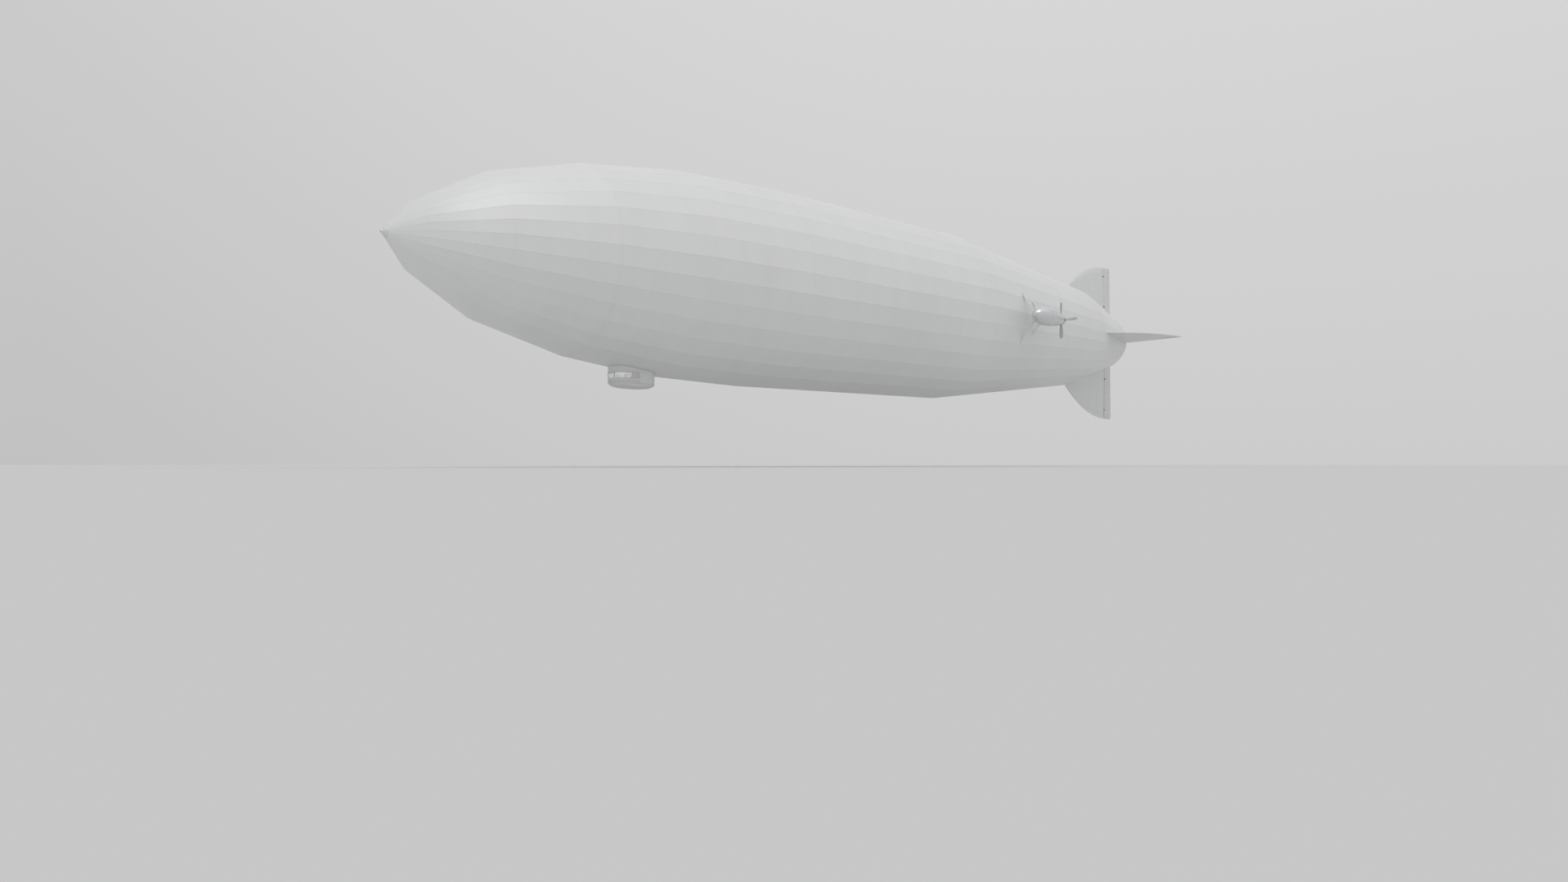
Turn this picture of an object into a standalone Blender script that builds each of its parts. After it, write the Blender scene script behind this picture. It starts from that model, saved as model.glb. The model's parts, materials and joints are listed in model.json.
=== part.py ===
"""A rigid airship at one tenth of its real size, in metres: nose towards +X, port towards +Y, top towards +Z.

The origin is on the hull's axis, at the centre of buoyancy. A station is a distance aft of the nose's tip.
"""

import math

import bmesh
import bpy
from mathutils import Matrix, Vector

# Driving dimensions of the whole ship
NOSE_X = 6.75  # the nose's tip, so the centre of buoyancy is 6.75 m aft of it
SIDES = 32  # flat sides of the hull, with a ridge at the top, at the keel and at each beam
SKIN = 0.010  # cover and its stringers, as one wall
GAP = 0.0003  # between pieces that touch
CLEARANCE = 0.006  # round moving pieces
PIN_CLEARANCE = 0.0006  # between a pin and its hole
CUT_OVERRUN = 0.020  # how far a cutting shape reaches past the face that it cuts
HULL_CREASE = 8  # degrees between faces from which an edge is shaded sharp, on the hull
CREASE = 30  # the same on other pieces

# Hull outline: station, radius. The bays between these frames are straight.
HULL_RINGS = (
    (0.000, 0.000),
    (0.321, 0.377),
    (1.088, 0.824),
    (2.213, 1.137),
    (3.450, 1.304),
    (4.930, 1.356),
    (8.862, 1.334),
    (12.617, 0.923),
    (14.112, 0.505),
    (14.430, 0.335),
    (14.660, 0.207),
    (14.780, 0.140),
    (14.840, 0.070),
)

# Hull sections: node, first station, last station. Each is an open tube.
HULL_TUBES = (
    ("bow_section", 0.321, 2.213),
    ("fore_section", 2.213, 4.930),
    ("midship_section_fore", 4.930, 6.900),
    ("midship_section_aft", 6.900, 8.862),
    ("aft_section", 8.862, 10.740),
    ("quarter_section", 10.740, 12.617),
    ("fin_section", 12.617, 14.112),
)
TAIL_END = 14.840
NOSE_CAP_FRONT = 0.060
NOSE_CAP_BACK = 0.321
NOSE_CAP_CORE = 0.110  # station where the nose cap's hollow starts
TAIL_CAP_FRONT = 14.112

# Nose spindle, a turned fitting: station, radius
SPINDLE_PROFILE = ((0.000, 0.016), (0.014, 0.019), (0.020, 0.029), (0.048, 0.058), (0.0597, 0.066))
SPINDLE_SIDES = 24

# Fins, the same four times: the leading edge is a power curve from the hull to the tip
FIN_TRAIL = 14.385  # station of the rudders' trailing edge
HINGE_STATION = 14.1375
FIN_ROOT_RADIUS = 0.913
FIN_RISE = 0.602
FIN_CHORD = 1.630
FIN_POWER = 2.4
FIN_START = 12.710
FIN_COLUMNS = 12
FIN_LEVELS = (0.0, 0.45, 0.86, 1.0)  # shares of the fin's height at which its thickness is set
FIN_FIRST_FULLNESS = 0.25  # share of the full thickness at the fin's forward end
FIN_FULLNESS_GROWTH = 2.2  # and how fast it reaches the whole, along the fin
FIN_HALF_ROOT = 0.042  # half thickness where the fin leaves the hull
FIN_HALF_TIP = 0.016
FIN_HALF_EDGE = 0.005  # half thickness of the rounded leading edge
FIN_SUNK = 0.060  # how far the blank reaches into the hull before it is cut to it
RUDDER_HALF_TRAIL = 0.003
RUDDER_NOSE_STEPS = 6
RUDDER_LEVELS = (0.0, 0.35, 0.7, 0.95, 1.0)
RUDDER_TIP_CORNER = 0.030  # cut off the trailing corner of the tip
HINGE_SPANS = (0.720, 1.330)  # distance of each hinge from the hull's axis
LUG_HEIGHT = 0.020
LUG_RADIUS = 0.009
LUG_ARM_SUNK = 0.020  # how far a lug's arm reaches into the fin
NOTCH_HEIGHT = LUG_HEIGHT + 2 * CLEARANCE
NOTCH_DEPTH = LUG_RADIUS + CLEARANCE
HINGE_PIN_RADIUS = 0.005
HINGE_PIN_LENGTH = 0.050

# Fins: name, name of its moving surface, turn about the hull's axis in degrees from the top
FINS = (
    ("fin_top", "rudder_top", 0),
    ("fin_starboard", "elevator_starboard", 90),
    ("fin_bottom", "rudder_bottom", 180),
    ("fin_port", "elevator_port", 270),
)

# Engine nacelles: one on each side, on two pairs of struts, with a pusher propeller
NACELLE_FRONT_X = -2.670
NACELLE_Y = 1.575
NACELLE_Z = -0.080
NACELLE_SIDES = 24
NACELLE_WALL = 0.006
NACELLE_SPLIT = 0.300  # where the front cowl meets the rear one, from the nacelle's tip
NACELLE_LENGTH = 0.705
NACELLE_DROOP = 0.025  # of the rear cowl's end, and so of the propeller's shaft, below the front cowl's axis
DROOP_POWER = 1.5
NACELLE_SHAFT_WALL = 0.040  # thickness of the rear cowl's end, which the shaft goes through
# Nacelle outline: distance from its tip, radius
NACELLE_PROFILE = (
    (0.000, 0.020),
    (0.012, 0.044),
    (0.045, 0.078),
    (0.105, 0.112),
    (0.190, 0.138),
    (0.300, 0.148),
    (0.410, 0.144),
    (0.510, 0.130),
    (0.600, 0.110),
    (0.665, 0.092),
    (0.705, 0.080),
)
ENGINE_LENGTH = 0.300
ENGINE_WIDTH = 0.130
ENGINE_HEIGHT = 0.140
BEARER_LENGTH = 0.030
BEARER_HEIGHT = 0.022
BEARER_DROP = 0.050
BEARER_REACH = 0.200  # to each side, before it is cut to the cowls' inside
SHAFT_RADIUS = 0.010
SHAFT_SIDES = 16
HUB_GAP = 0.006
HUB_SIDES = 24
# Hub outline: distance aft of its front face, radius
HUB_PROFILE = (
    (0.000, 0.070),
    (0.004, 0.076),
    (0.040, 0.073),
    (0.066, 0.058),
    (0.084, 0.036),
    (0.093, 0.014),
    (0.094, 0.005),
)
BLADE_PLANE = 0.029  # aft of the hub's front face
BLADE_COUNT = 4
# Blade sections: distance from the shaft, chord, half thickness, pitch in degrees from the disc's plane
BLADE_SECTIONS = (
    (0.050, 0.026, 0.0080, 50),
    (0.090, 0.036, 0.0066, 42),
    (0.140, 0.050, 0.0052, 34),
    (0.215, 0.058, 0.0040, 27),
    (0.262, 0.050, 0.0030, 23),
    (0.284, 0.032, 0.0022, 21),
    (0.292, 0.014, 0.0016, 20),
)
# Outline of a blade's section: place along the chord from -1 to 1, share of the half thickness
BLADE_OUTLINE = ((-1, 0), (-0.55, 0.8), (0, 1), (0.6, 0.7), (1, 0), (0.6, -0.25), (0, -0.4), (-0.55, -0.3))
# Strut pairs: name, x at the hull, x at the nacelle, half thickness, chord, angle of the upper and of the lower
# strut's foot on the hull in degrees above the beam
STRUT_PAIRS = (
    ("struts_front", -2.900, -2.930, 0.011, 0.040, 15, -21),
    ("struts_rear", -3.200, -3.150, 0.009, 0.034, 10, -14),
)
STRUT_SIDES = 10
STRUT_MEETING = 0.135  # inboard of the nacelle's axis, where the two struts of a pair meet
STRUT_OVERLAP = 0.050  # beyond that point, into the nacelle, before they are cut to it
STRUT_PAD_RADIUS = 0.030
STRUT_PAD_LENGTH = 0.050
STRUT_PAD_SIDES = 16
STRUT_PAD_SHIFT = 0.012  # of the pad's centre inboard of the meeting point

# Control car under the bow: a boat-shaped plan, a straight wall and a rounded bottom
CAR_FRONT_CENTRE_X = 3.770
CAR_FRONT_REACH = 0.225
CAR_BACK_CENTRE_X = 3.548
CAR_BACK_REACH = 0.1725
CAR_HALF_WIDTH = 0.1725
CAR_WALL = 0.009
CAR_TOP_BLANK_Z = -1.100  # above the keel, so that the hull cuts the wall's top
WINDOW_TOP_Z = -1.297
WINDOW_SILL_Z = -1.364
WALL_FOOT_Z = -1.425
CAR_ARC_STEPS = 12
# Bottom of the car: height, scale of the plan about the keel point
CAR_BOTTOM_RINGS = ((-1.4253, 1.0), (-1.446, 0.945), (-1.463, 0.820), (-1.475, 0.610), (-1.481, 0.340))
KEEL_POINT_X = 3.640
CAR_BOTTOM_WALL = 0.010
DECK_TOP_Z = -1.451
DECK_THICKNESS = 0.008
DECK_ROOM_TOP_Z = -1.300  # top of the shape that trims the deck to the car's inside
PANE_THICKNESS = 0.003
PANE_INSET = 0.003
POST_WIDTH = 0.010
SIDE_WINDOW_BACK_X = 3.671
# Panes along the plan, from starboard round the front to port: node, first place, last place.
# Places 0 to 1 run along the starboard side, 1 to 2 round the front and 2 to 3 along the port side.
PANES = (
    ("pane_starboard_side", 0.0, 1.0),
    ("pane_starboard_front", 1.0, 1.36),
    ("pane_front", 1.36, 1.64),
    ("pane_port_front", 1.64, 2.0),
    ("pane_port_side", 2.0, 3.0),
)

# Door on the car's starboard side, hinged at its front edge
DOOR_FRONT_X = 3.652
DOOR_BACK_X = 3.560
DOOR_TOP_Z = -1.279
DOOR_FOOT_Z = -1.409
DOOR_GAP = 0.005
DOOR_WINDOW_FRONT_X = 3.630
DOOR_WINDOW_BACK_X = 3.584
DOOR_HINGE_X = 3.658
DOOR_HINGE_Y = -0.1795
DOOR_HINGE_HEIGHTS = (-1.385, -1.303)
KNUCKLE_RADIUS = 0.0052
KNUCKLE_HEIGHT = 0.012
KNUCKLE_SIDES = 16
KNUCKLE_PIN_RADIUS = 0.0026
HINGE_ARM_HEIGHT = 0.004
HINGE_ARM_REACH = 0.012  # forward along the wall
HINGE_LEAF_REACH = 0.016  # back over the door
HINGE_LEAF_SUNK = 0.002  # of its strap into the door's skin
HINGE_ARM_SUNK = 0.003
HINGE_STRAP_END = 0.003  # of the strap short of the door's front edge
HINGE_LEAF_LIFT = 0.0015  # of the leaf off the wall's skin, so that it swings free
HINGE_EDGE = 0.001  # of the leaf's edges off the knuckle's centre

# Inside the car, seen through its windows
HELM_X = 3.880
HELM_WHEEL_RADIUS = 0.030
HELM_WHEEL_Z = -1.380
HELM_WHEEL_SIDES = 24
HELM_STAND_HALF = 0.012  # half width of the pedestal
HELM_WHEEL_STEP = 0.022  # from the pedestal's centre to the wheel's plane
HELM_HUB_RADIUS = 0.006
HELM_HUB_LENGTH = 0.026
HELM_HUB_STEP = 0.012
SPOKE_HALF_DEPTH = 0.0016
SPOKE_HALF_WIDTH = 0.0022
ELEVATOR_WHEEL_X = 3.760
ELEVATOR_WHEEL_Y = 0.105
WHEEL_RIM_RADIUS = 0.0028
WHEEL_RIM_SIDES = 6
CHART_TABLE_BACK_X = 3.480
CHART_TABLE_FRONT_X = 3.580
CHART_TABLE_INNER_Y = 0.010
CHART_TABLE_OUTER_Y = 0.120
CHART_TABLE_TOP_Z = -1.378
CHART_TABLE_THICKNESS = 0.006
CHART_TABLE_LEGS = (0.018, 0.078)  # inner and outer y of its two leg plates


def clear_scene():
    for item in list(bpy.data.objects):
        bpy.data.objects.remove(item, do_unlink=True)


def material(name, colour, roughness, metallic=0.0, alpha=1.0):
    made = bpy.data.materials.new(name)
    made.use_nodes = True
    shader = made.node_tree.nodes["Principled BSDF"]
    shader.inputs["Base Color"].default_value = (*colour, 1.0)
    shader.inputs["Roughness"].default_value = roughness
    shader.inputs["Metallic"].default_value = metallic
    shader.inputs["Alpha"].default_value = alpha
    made.diffuse_color = (*colour, alpha)
    return made


def make_materials():
    return {
        "cover": material("cover", (0.62, 0.63, 0.64), 0.42, 0.10),
        "fin_cover": material("fin_cover", (0.58, 0.59, 0.60), 0.48, 0.05),
        "cowl": material("cowl", (0.55, 0.56, 0.57), 0.20, 0.90),
        "strut": material("strut", (0.42, 0.43, 0.44), 0.35, 0.60),
        "engine": material("engine", (0.16, 0.16, 0.17), 0.55, 0.50),
        "propeller": material("propeller", (0.13, 0.13, 0.14), 0.35, 0.20),
        "car": material("car", (0.45, 0.46, 0.47), 0.40, 0.20),
        "deck": material("deck", (0.34, 0.30, 0.25), 0.60, 0.00),
        "glass": material("glass", (0.80, 0.86, 0.88), 0.05, 0.00, 0.35),
        "fitting": material("fitting", (0.36, 0.37, 0.38), 0.30, 0.90),
    }


def mesh_object(name, points, faces, finish=None, origin=(0.0, 0.0, 0.0)):
    """An object from points in the ship's frame, with its origin moved to a given place."""
    place = Vector(origin)
    data = bpy.data.meshes.new(name)
    data.from_pydata([Vector(point) - place for point in points], [], faces)
    shape = bmesh.new()
    shape.from_mesh(data)
    bmesh.ops.recalc_face_normals(shape, faces=shape.faces)
    shape.to_mesh(data)
    shape.free()
    made = bpy.data.objects.new(name, data)
    made.location = place
    bpy.context.scene.collection.objects.link(made)
    if finish:
        data.materials.append(finish)
    data.shade_smooth()
    data.set_sharp_from_angle(angle=math.radians(HULL_CREASE if "section" in name else CREASE))
    return made


def hide_as_tool(made):
    made.hide_render = True
    made.display_type = "WIRE"
    return made


def boolean(target, tool, operation):
    """Joins or cuts with another object, which is then only a tool."""
    change = target.modifiers.new(operation.lower() + "_" + tool.name, "BOOLEAN")
    change.operation = operation
    change.solver = "EXACT"
    change.object = tool
    hide_as_tool(tool)


def loft(rings, looped=False):
    """Points and faces of a skin over rings of equal count. It ends in two caps, or closes on itself."""
    count = len(rings[0])
    points = [point for ring in rings for point in ring]
    faces = []
    spans = len(rings) if looped else len(rings) - 1
    for step in range(spans):
        near = step * count
        far = ((step + 1) % len(rings)) * count
        for side in range(count):
            other = (side + 1) % count
            faces.append((near + side, near + other, far + other, far + side))
    if not looped:
        faces.append(tuple(range(count)))
        faces.append(tuple(range((len(rings) - 1) * count, len(rings) * count)))
    return points, faces


def disc_ring(centre, radius, sides, along="X"):
    """Corners of a regular polygon about a centre, square to an axis, with a corner on the next axis up."""
    ring = []
    for step in range(sides):
        angle = math.tau * step / sides
        across = radius * math.cos(angle)
        up = radius * math.sin(angle)
        offset = {"X": (0, across, up), "Y": (across, 0, up), "Z": (across, up, 0)}[along]
        ring.append(Vector(centre) + Vector(offset))
    return ring


def box(low, high):
    points = [(x, y, z) for x in (low[0], high[0]) for y in (low[1], high[1]) for z in (low[2], high[2])]
    faces = [(0, 1, 3, 2), (4, 6, 7, 5), (0, 4, 5, 1), (2, 3, 7, 6), (0, 2, 6, 4), (1, 5, 7, 3)]
    return points, faces


def cylinder(centre, radius, length, sides, along="Z"):
    """A closed cylinder, its centre halfway along it."""
    step = {"X": Vector((1, 0, 0)), "Y": Vector((0, 1, 0)), "Z": Vector((0, 0, 1))}[along] * (length / 2)
    ends = [Vector(centre) - step, Vector(centre) + step]
    return loft([disc_ring(end, radius, sides, along) for end in ends])


def station_x(station):
    return NOSE_X - station


def slope_at(station):
    """Change of radius for each metre aft, in the bay that holds the station."""
    for (start, first), (end, last) in zip(HULL_RINGS, HULL_RINGS[1:]):
        if station <= end + GAP:
            return (last - first) / (end - start)
    return 0.0


def hull_radius(station):
    for (start, first), (end, last) in zip(HULL_RINGS, HULL_RINGS[1:]):
        if station <= end:
            return first + (last - first) * (station - start) / (end - start)
    return HULL_RINGS[-1][1]


def inner_radius(station):
    return hull_radius(station) - SKIN * math.hypot(1.0, slope_at(station))


def hull_ring(station, radius):
    return disc_ring((station_x(station), 0, 0), radius, SIDES)


def hull_stations(first, last):
    """The two ends, less the gap to the next section, and the frames between them."""
    between = [station for station, _ in HULL_RINGS if first + GAP < station < last - GAP]
    return [first + GAP / 2, *between, last - GAP / 2]


def make_hull(finishes):
    for name, first, last in HULL_TUBES:
        stations = hull_stations(first, last)
        outer = [hull_ring(station, hull_radius(station)) for station in stations]
        inner = [hull_ring(station, inner_radius(station)) for station in reversed(stations)]
        mesh_object(name, *loft(outer + inner, looped=True), finishes["cover"])
    nose = hull_stations(NOSE_CAP_FRONT, NOSE_CAP_BACK)
    outer = [hull_ring(station, hull_radius(station)) for station in nose]
    inner = [hull_ring(station, inner_radius(station)) for station in (nose[-1], NOSE_CAP_CORE)]
    mesh_object("nose_cap", *loft(outer + inner), finishes["cover"])
    tail = hull_stations(TAIL_CAP_FRONT, TAIL_END)
    outer = [hull_ring(station, hull_radius(station)) for station in reversed(tail)]
    inner = [hull_ring(station, inner_radius(station)) for station in tail[:-1]]
    mesh_object("tail_cap", *loft(outer + inner), finishes["cover"])
    rings = [disc_ring((station_x(s), 0, 0), radius, SPINDLE_SIDES) for s, radius in SPINDLE_PROFILE]
    mesh_object("nose_spindle", *loft(rings), finishes["fitting"])


def hull_tool(name):
    """The hull's outside as one solid, larger by the gap, to cut pieces to it."""
    rings = [hull_ring(s, radius + GAP) for s, radius in HULL_RINGS[1:]]
    return hide_as_tool(mesh_object(name, *loft(rings)))


def fin_edge(station):
    """Distance of the fins' leading edge from the hull's axis."""
    reach = (FIN_TRAIL - station) / FIN_CHORD
    return FIN_ROOT_RADIUS + FIN_RISE * (1.0 - reach**FIN_POWER)


def fin_half(radius):
    """Half thickness of the fins at a distance from the hull's axis."""
    share = (radius - FIN_ROOT_RADIUS / 2) / (FIN_ROOT_RADIUS / 2 + FIN_RISE)
    return FIN_HALF_ROOT + (FIN_HALF_TIP - FIN_HALF_ROOT) * min(max(share, 0.0), 1.0)


def fin_blank(back):
    """The top fin, from inside the hull to its leading edge, thin at the edge and full just inside it."""
    columns = []
    for step in range(FIN_COLUMNS + 1):
        station = FIN_START + (back - FIN_START) * step / FIN_COLUMNS
        low = hull_radius(station) - FIN_SUNK
        high = fin_edge(station)
        side = []
        fullness = min(1.0, FIN_FIRST_FULLNESS + FIN_FULLNESS_GROWTH * step / FIN_COLUMNS)
        for share in FIN_LEVELS:
            radius = low + (high - low) * share
            half = FIN_HALF_EDGE if share == 1.0 else max(FIN_HALF_EDGE, fin_half(radius) * fullness)
            side.append((station_x(station), half, radius))
        columns.append([Vector(p) for p in side] + [Vector((x, -y, z)) for x, y, z in reversed(side)])
    return loft(columns)


def rudder_blank():
    """The top rudder: a rounded nose about the hinge line and a straight taper to the trailing edge."""
    rings = []
    for share in RUDDER_LEVELS:
        is_tip = share == 1.0
        nose_station = HINGE_STATION - FIN_HALF_ROOT
        trail_station = FIN_TRAIL - (RUDDER_TIP_CORNER if is_tip else 0.0)
        nose_radius = rudder_radius(nose_station, share)
        trail_radius = rudder_radius(trail_station, share)
        half = FIN_HALF_EDGE if is_tip else fin_half(nose_radius)
        ring = []
        for step in range(RUDDER_NOSE_STEPS + 1):
            turn = math.pi * step / RUDDER_NOSE_STEPS
            ahead = half * math.sin(turn)
            ring.append(Vector((station_x(HINGE_STATION) + ahead, half * math.cos(turn), nose_radius)))
        for y in (-RUDDER_HALF_TRAIL, RUDDER_HALF_TRAIL):
            ring.append(Vector((station_x(trail_station), y, trail_radius)))
        rings.append(ring)
    return loft(rings)


def rudder_radius(station, share):
    """Distance from the hull's axis at a share of the rudder's height."""
    low = hull_radius(station) + 2 * CLEARANCE
    return low + (fin_edge(station) - low) * share


def turned(made, degrees):
    """Turns an object of the top fin about the hull's axis, to another fin's place."""
    made.matrix_world = Matrix.Rotation(math.radians(degrees), 4, "X") @ Matrix.Translation(made.location)
    return made


def make_fin(name, surface, degrees, finishes):
    hinge_x = station_x(HINGE_STATION)
    fin_back = HINGE_STATION - FIN_HALF_ROOT - CLEARANCE
    fin = mesh_object(name, *fin_blank(fin_back), finishes["fin_cover"])
    rudder = mesh_object(surface, *rudder_blank(), finishes["fin_cover"], (hinge_x, 0, 0))
    turned(fin, degrees)
    turned(rudder, degrees)
    boolean(fin, hull_tool("hull_for_" + name), "DIFFERENCE")
    for number, span in enumerate(HINGE_SPANS):
        label = f"_{surface}_{number}"
        arm = box(
            (hinge_x, -LUG_RADIUS, span - LUG_HEIGHT / 2),
            (station_x(fin_back) + LUG_ARM_SUNK, LUG_RADIUS, span + LUG_HEIGHT / 2),
        )
        lug = cylinder((hinge_x, 0, span), LUG_RADIUS, LUG_HEIGHT, 16)
        pin = cylinder((hinge_x, 0, span), HINGE_PIN_RADIUS, HINGE_PIN_LENGTH + NOTCH_HEIGHT, 12)
        for word, shape in (("arm", arm), ("lug", lug), ("pin", pin)):
            boolean(fin, turned(mesh_object(word + label, *shape), degrees), "UNION")
        notch = box(
            (hinge_x - NOTCH_DEPTH, -FIN_HALF_ROOT - CUT_OVERRUN, span - NOTCH_HEIGHT / 2),
            (hinge_x + FIN_HALF_ROOT + CUT_OVERRUN, FIN_HALF_ROOT + CUT_OVERRUN, span + NOTCH_HEIGHT / 2),
        )
        hole_length = HINGE_PIN_LENGTH + NOTCH_HEIGHT + 2 * PIN_CLEARANCE
        hole = cylinder((hinge_x, 0, span), HINGE_PIN_RADIUS + PIN_CLEARANCE, hole_length, 16)
        for word, shape in (("notch", notch), ("hole", hole)):
            boolean(rudder, turned(mesh_object(word + label, *shape), degrees), "DIFFERENCE")


def profile_radius(profile, place):
    for (start, first), (end, last) in zip(profile, profile[1:]):
        if place <= end:
            return first + (last - first) * (place - start) / (end - start)
    return profile[-1][1]


def nacelle_axis_z(place):
    """Height of the nacelle's centre line, level at the front and drooping in the rear cowl."""
    share = max(0.0, (place - NACELLE_SPLIT) / (NACELLE_LENGTH - NACELLE_SPLIT))
    return NACELLE_Z - NACELLE_DROOP * share**DROOP_POWER


def nacelle_ring(side, place, change=0.0):
    centre = (NACELLE_FRONT_X - place, side * NACELLE_Y, nacelle_axis_z(place))
    return disc_ring(centre, profile_radius(NACELLE_PROFILE, place) + change, NACELLE_SIDES)


def nacelle_solid(side, change):
    """The nacelle's outside as one solid, larger or smaller by a change of radius."""
    places = [place for place, _ in NACELLE_PROFILE]
    return loft([nacelle_ring(side, place, change) for place in places])


def make_nacelle(word, side, finishes):
    half_gap = GAP / 2
    places = [place for place, _ in NACELLE_PROFILE]
    front = [place for place in places if place < NACELLE_SPLIT] + [NACELLE_SPLIT - half_gap]
    back = [NACELLE_SPLIT + half_gap] + [place for place in places if place > NACELLE_SPLIT]
    outer = [nacelle_ring(side, place) for place in front]
    inner = [nacelle_ring(side, place, -NACELLE_WALL) for place in reversed(front[2:])]
    mesh_object("cowl_front_" + word, *loft(outer + inner), finishes["cowl"])
    outer = [nacelle_ring(side, place) for place in reversed(back)]
    inner = [nacelle_ring(side, place, -NACELLE_WALL) for place in back[:-1]]
    cowl = mesh_object("cowl_rear_" + word, *loft(outer + inner), finishes["cowl"])
    bore_centre = (NACELLE_FRONT_X - NACELLE_LENGTH, side * NACELLE_Y, nacelle_axis_z(NACELLE_LENGTH))
    bore_length = 2 * NACELLE_SHAFT_WALL + CUT_OVERRUN
    bore = cylinder(bore_centre, SHAFT_RADIUS + PIN_CLEARANCE, bore_length, SHAFT_SIDES, "X")
    boolean(cowl, mesh_object("bore_" + word, *bore), "DIFFERENCE")
    make_engine(word, side, finishes)
    make_propeller(word, side, finishes)
    make_struts(word, side, finishes)


def make_engine(word, side, finishes):
    """A plain block for the engine's mass, on two bearers that reach the cowls' inside."""
    centre = Vector((NACELLE_FRONT_X - NACELLE_SPLIT, side * NACELLE_Y, NACELLE_Z))
    half = Vector((ENGINE_LENGTH / 2, ENGINE_WIDTH / 2, ENGINE_HEIGHT / 2))
    block = mesh_object("engine_" + word, *box(centre - half, centre + half), finishes["engine"])
    for number, along in enumerate((-1, 1)):
        x = centre.x + along * (ENGINE_LENGTH / 2 - BEARER_LENGTH)
        z = centre.z - BEARER_DROP
        low = (x - BEARER_LENGTH / 2, centre.y - BEARER_REACH, z - BEARER_HEIGHT / 2)
        high = (x + BEARER_LENGTH / 2, centre.y + BEARER_REACH, z + BEARER_HEIGHT / 2)
        boolean(block, mesh_object(f"bearer_{word}_{number}", *box(low, high)), "UNION")
    room = nacelle_solid(side, -NACELLE_WALL - GAP)
    boolean(block, mesh_object("engine_room_" + word, *room), "INTERSECT")


def blade(root, turn):
    """Points and faces of one blade, turned about the shaft, with its flat lens sections set at their pitch."""
    rings = []
    for reach, chord, half, pitch in BLADE_SECTIONS:
        ring = []
        for along, thick in BLADE_OUTLINE:
            across = along * chord / 2
            out = thick * half
            angle = math.radians(pitch)
            x = across * math.sin(angle) + out * math.cos(angle)
            y = across * math.cos(angle) - out * math.sin(angle)
            ring.append(Matrix.Rotation(turn, 4, "X") @ Vector((x, y, reach)) + root)
        rings.append(ring)
    return loft(rings)


def make_propeller(word, side, finishes):
    """Hub, shaft and blades as one piece, which turns about the nacelle's axis."""
    shaft_z = nacelle_axis_z(NACELLE_LENGTH)
    front = Vector((NACELLE_FRONT_X - NACELLE_LENGTH - HUB_GAP, side * NACELLE_Y, shaft_z))
    rings = [disc_ring(front - Vector((place, 0, 0)), radius, HUB_SIDES) for place, radius in HUB_PROFILE]
    hub = mesh_object("propeller_" + word, *loft(rings), finishes["propeller"], front)
    shaft_end = NACELLE_FRONT_X - NACELLE_SPLIT - ENGINE_LENGTH / 2 - GAP
    shaft_back = front.x - HUB_PROFILE[1][0]
    shaft_centre = ((shaft_end + shaft_back) / 2, front.y, front.z)
    shaft = cylinder(shaft_centre, SHAFT_RADIUS, shaft_end - shaft_back, SHAFT_SIDES, "X")
    boolean(hub, mesh_object("shaft_" + word, *shaft), "UNION")
    middle = front - Vector((BLADE_PLANE, 0, 0))
    for number in range(BLADE_COUNT):
        shape = blade(middle, math.tau * number / BLADE_COUNT)
        boolean(hub, mesh_object(f"blade_{word}_{number}", *shape), "UNION")


def strut_shape(start, end, half_thickness, chord):
    """A straight strut with a streamlined section, its chord along the ship."""
    along = (end - start).normalized()
    ahead = Vector((1, 0, 0)) - along * along.x
    ahead.normalize()
    across = along.cross(ahead)
    rings = []
    for point in (start, end):
        ring = []
        for step in range(STRUT_SIDES):
            angle = math.tau * step / STRUT_SIDES
            fore = ahead * (chord / 2 * math.cos(angle))
            ring.append(point + fore + across * (half_thickness * math.sin(angle)))
        rings.append(ring)
    return loft(rings)


def make_struts(word, side, finishes):
    """Two pairs of struts. A pair meets inside the nacelle's outline, is joined there and cut to hull and cowl."""
    for name, hull_x, nacelle_x, half_thickness, chord, upper, lower in STRUT_PAIRS:
        radius = hull_radius(NOSE_X - hull_x) - FIN_SUNK
        meeting = Vector((nacelle_x, side * (NACELLE_Y - STRUT_MEETING), NACELLE_Z))
        legs = []
        for number, degrees in enumerate((upper, lower)):
            angle = math.radians(degrees)
            start = Vector((hull_x, side * radius * math.cos(angle), radius * math.sin(angle)))
            end = meeting + (meeting - start).normalized() * STRUT_OVERLAP
            node = f"{name}_{word}"
            label = node if number == 0 else "second_leg_" + node
            legs.append(mesh_object(label, *strut_shape(start, end, half_thickness, chord), finishes["strut"]))
        boolean(legs[0], legs[1], "UNION")
        pad_centre = meeting - Vector((0, side * STRUT_PAD_SHIFT, 0))
        pad = cylinder(pad_centre, STRUT_PAD_RADIUS, STRUT_PAD_LENGTH, STRUT_PAD_SIDES, "Y")
        boolean(legs[0], mesh_object(f"pad_{name}_{word}", *pad), "UNION")
        boolean(legs[0], hull_tool(f"hull_for_{name}_{word}"), "DIFFERENCE")
        keep_off = mesh_object(f"nacelle_for_{name}_{word}", *nacelle_solid(side, GAP))
        boolean(legs[0], keep_off, "DIFFERENCE")


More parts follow.
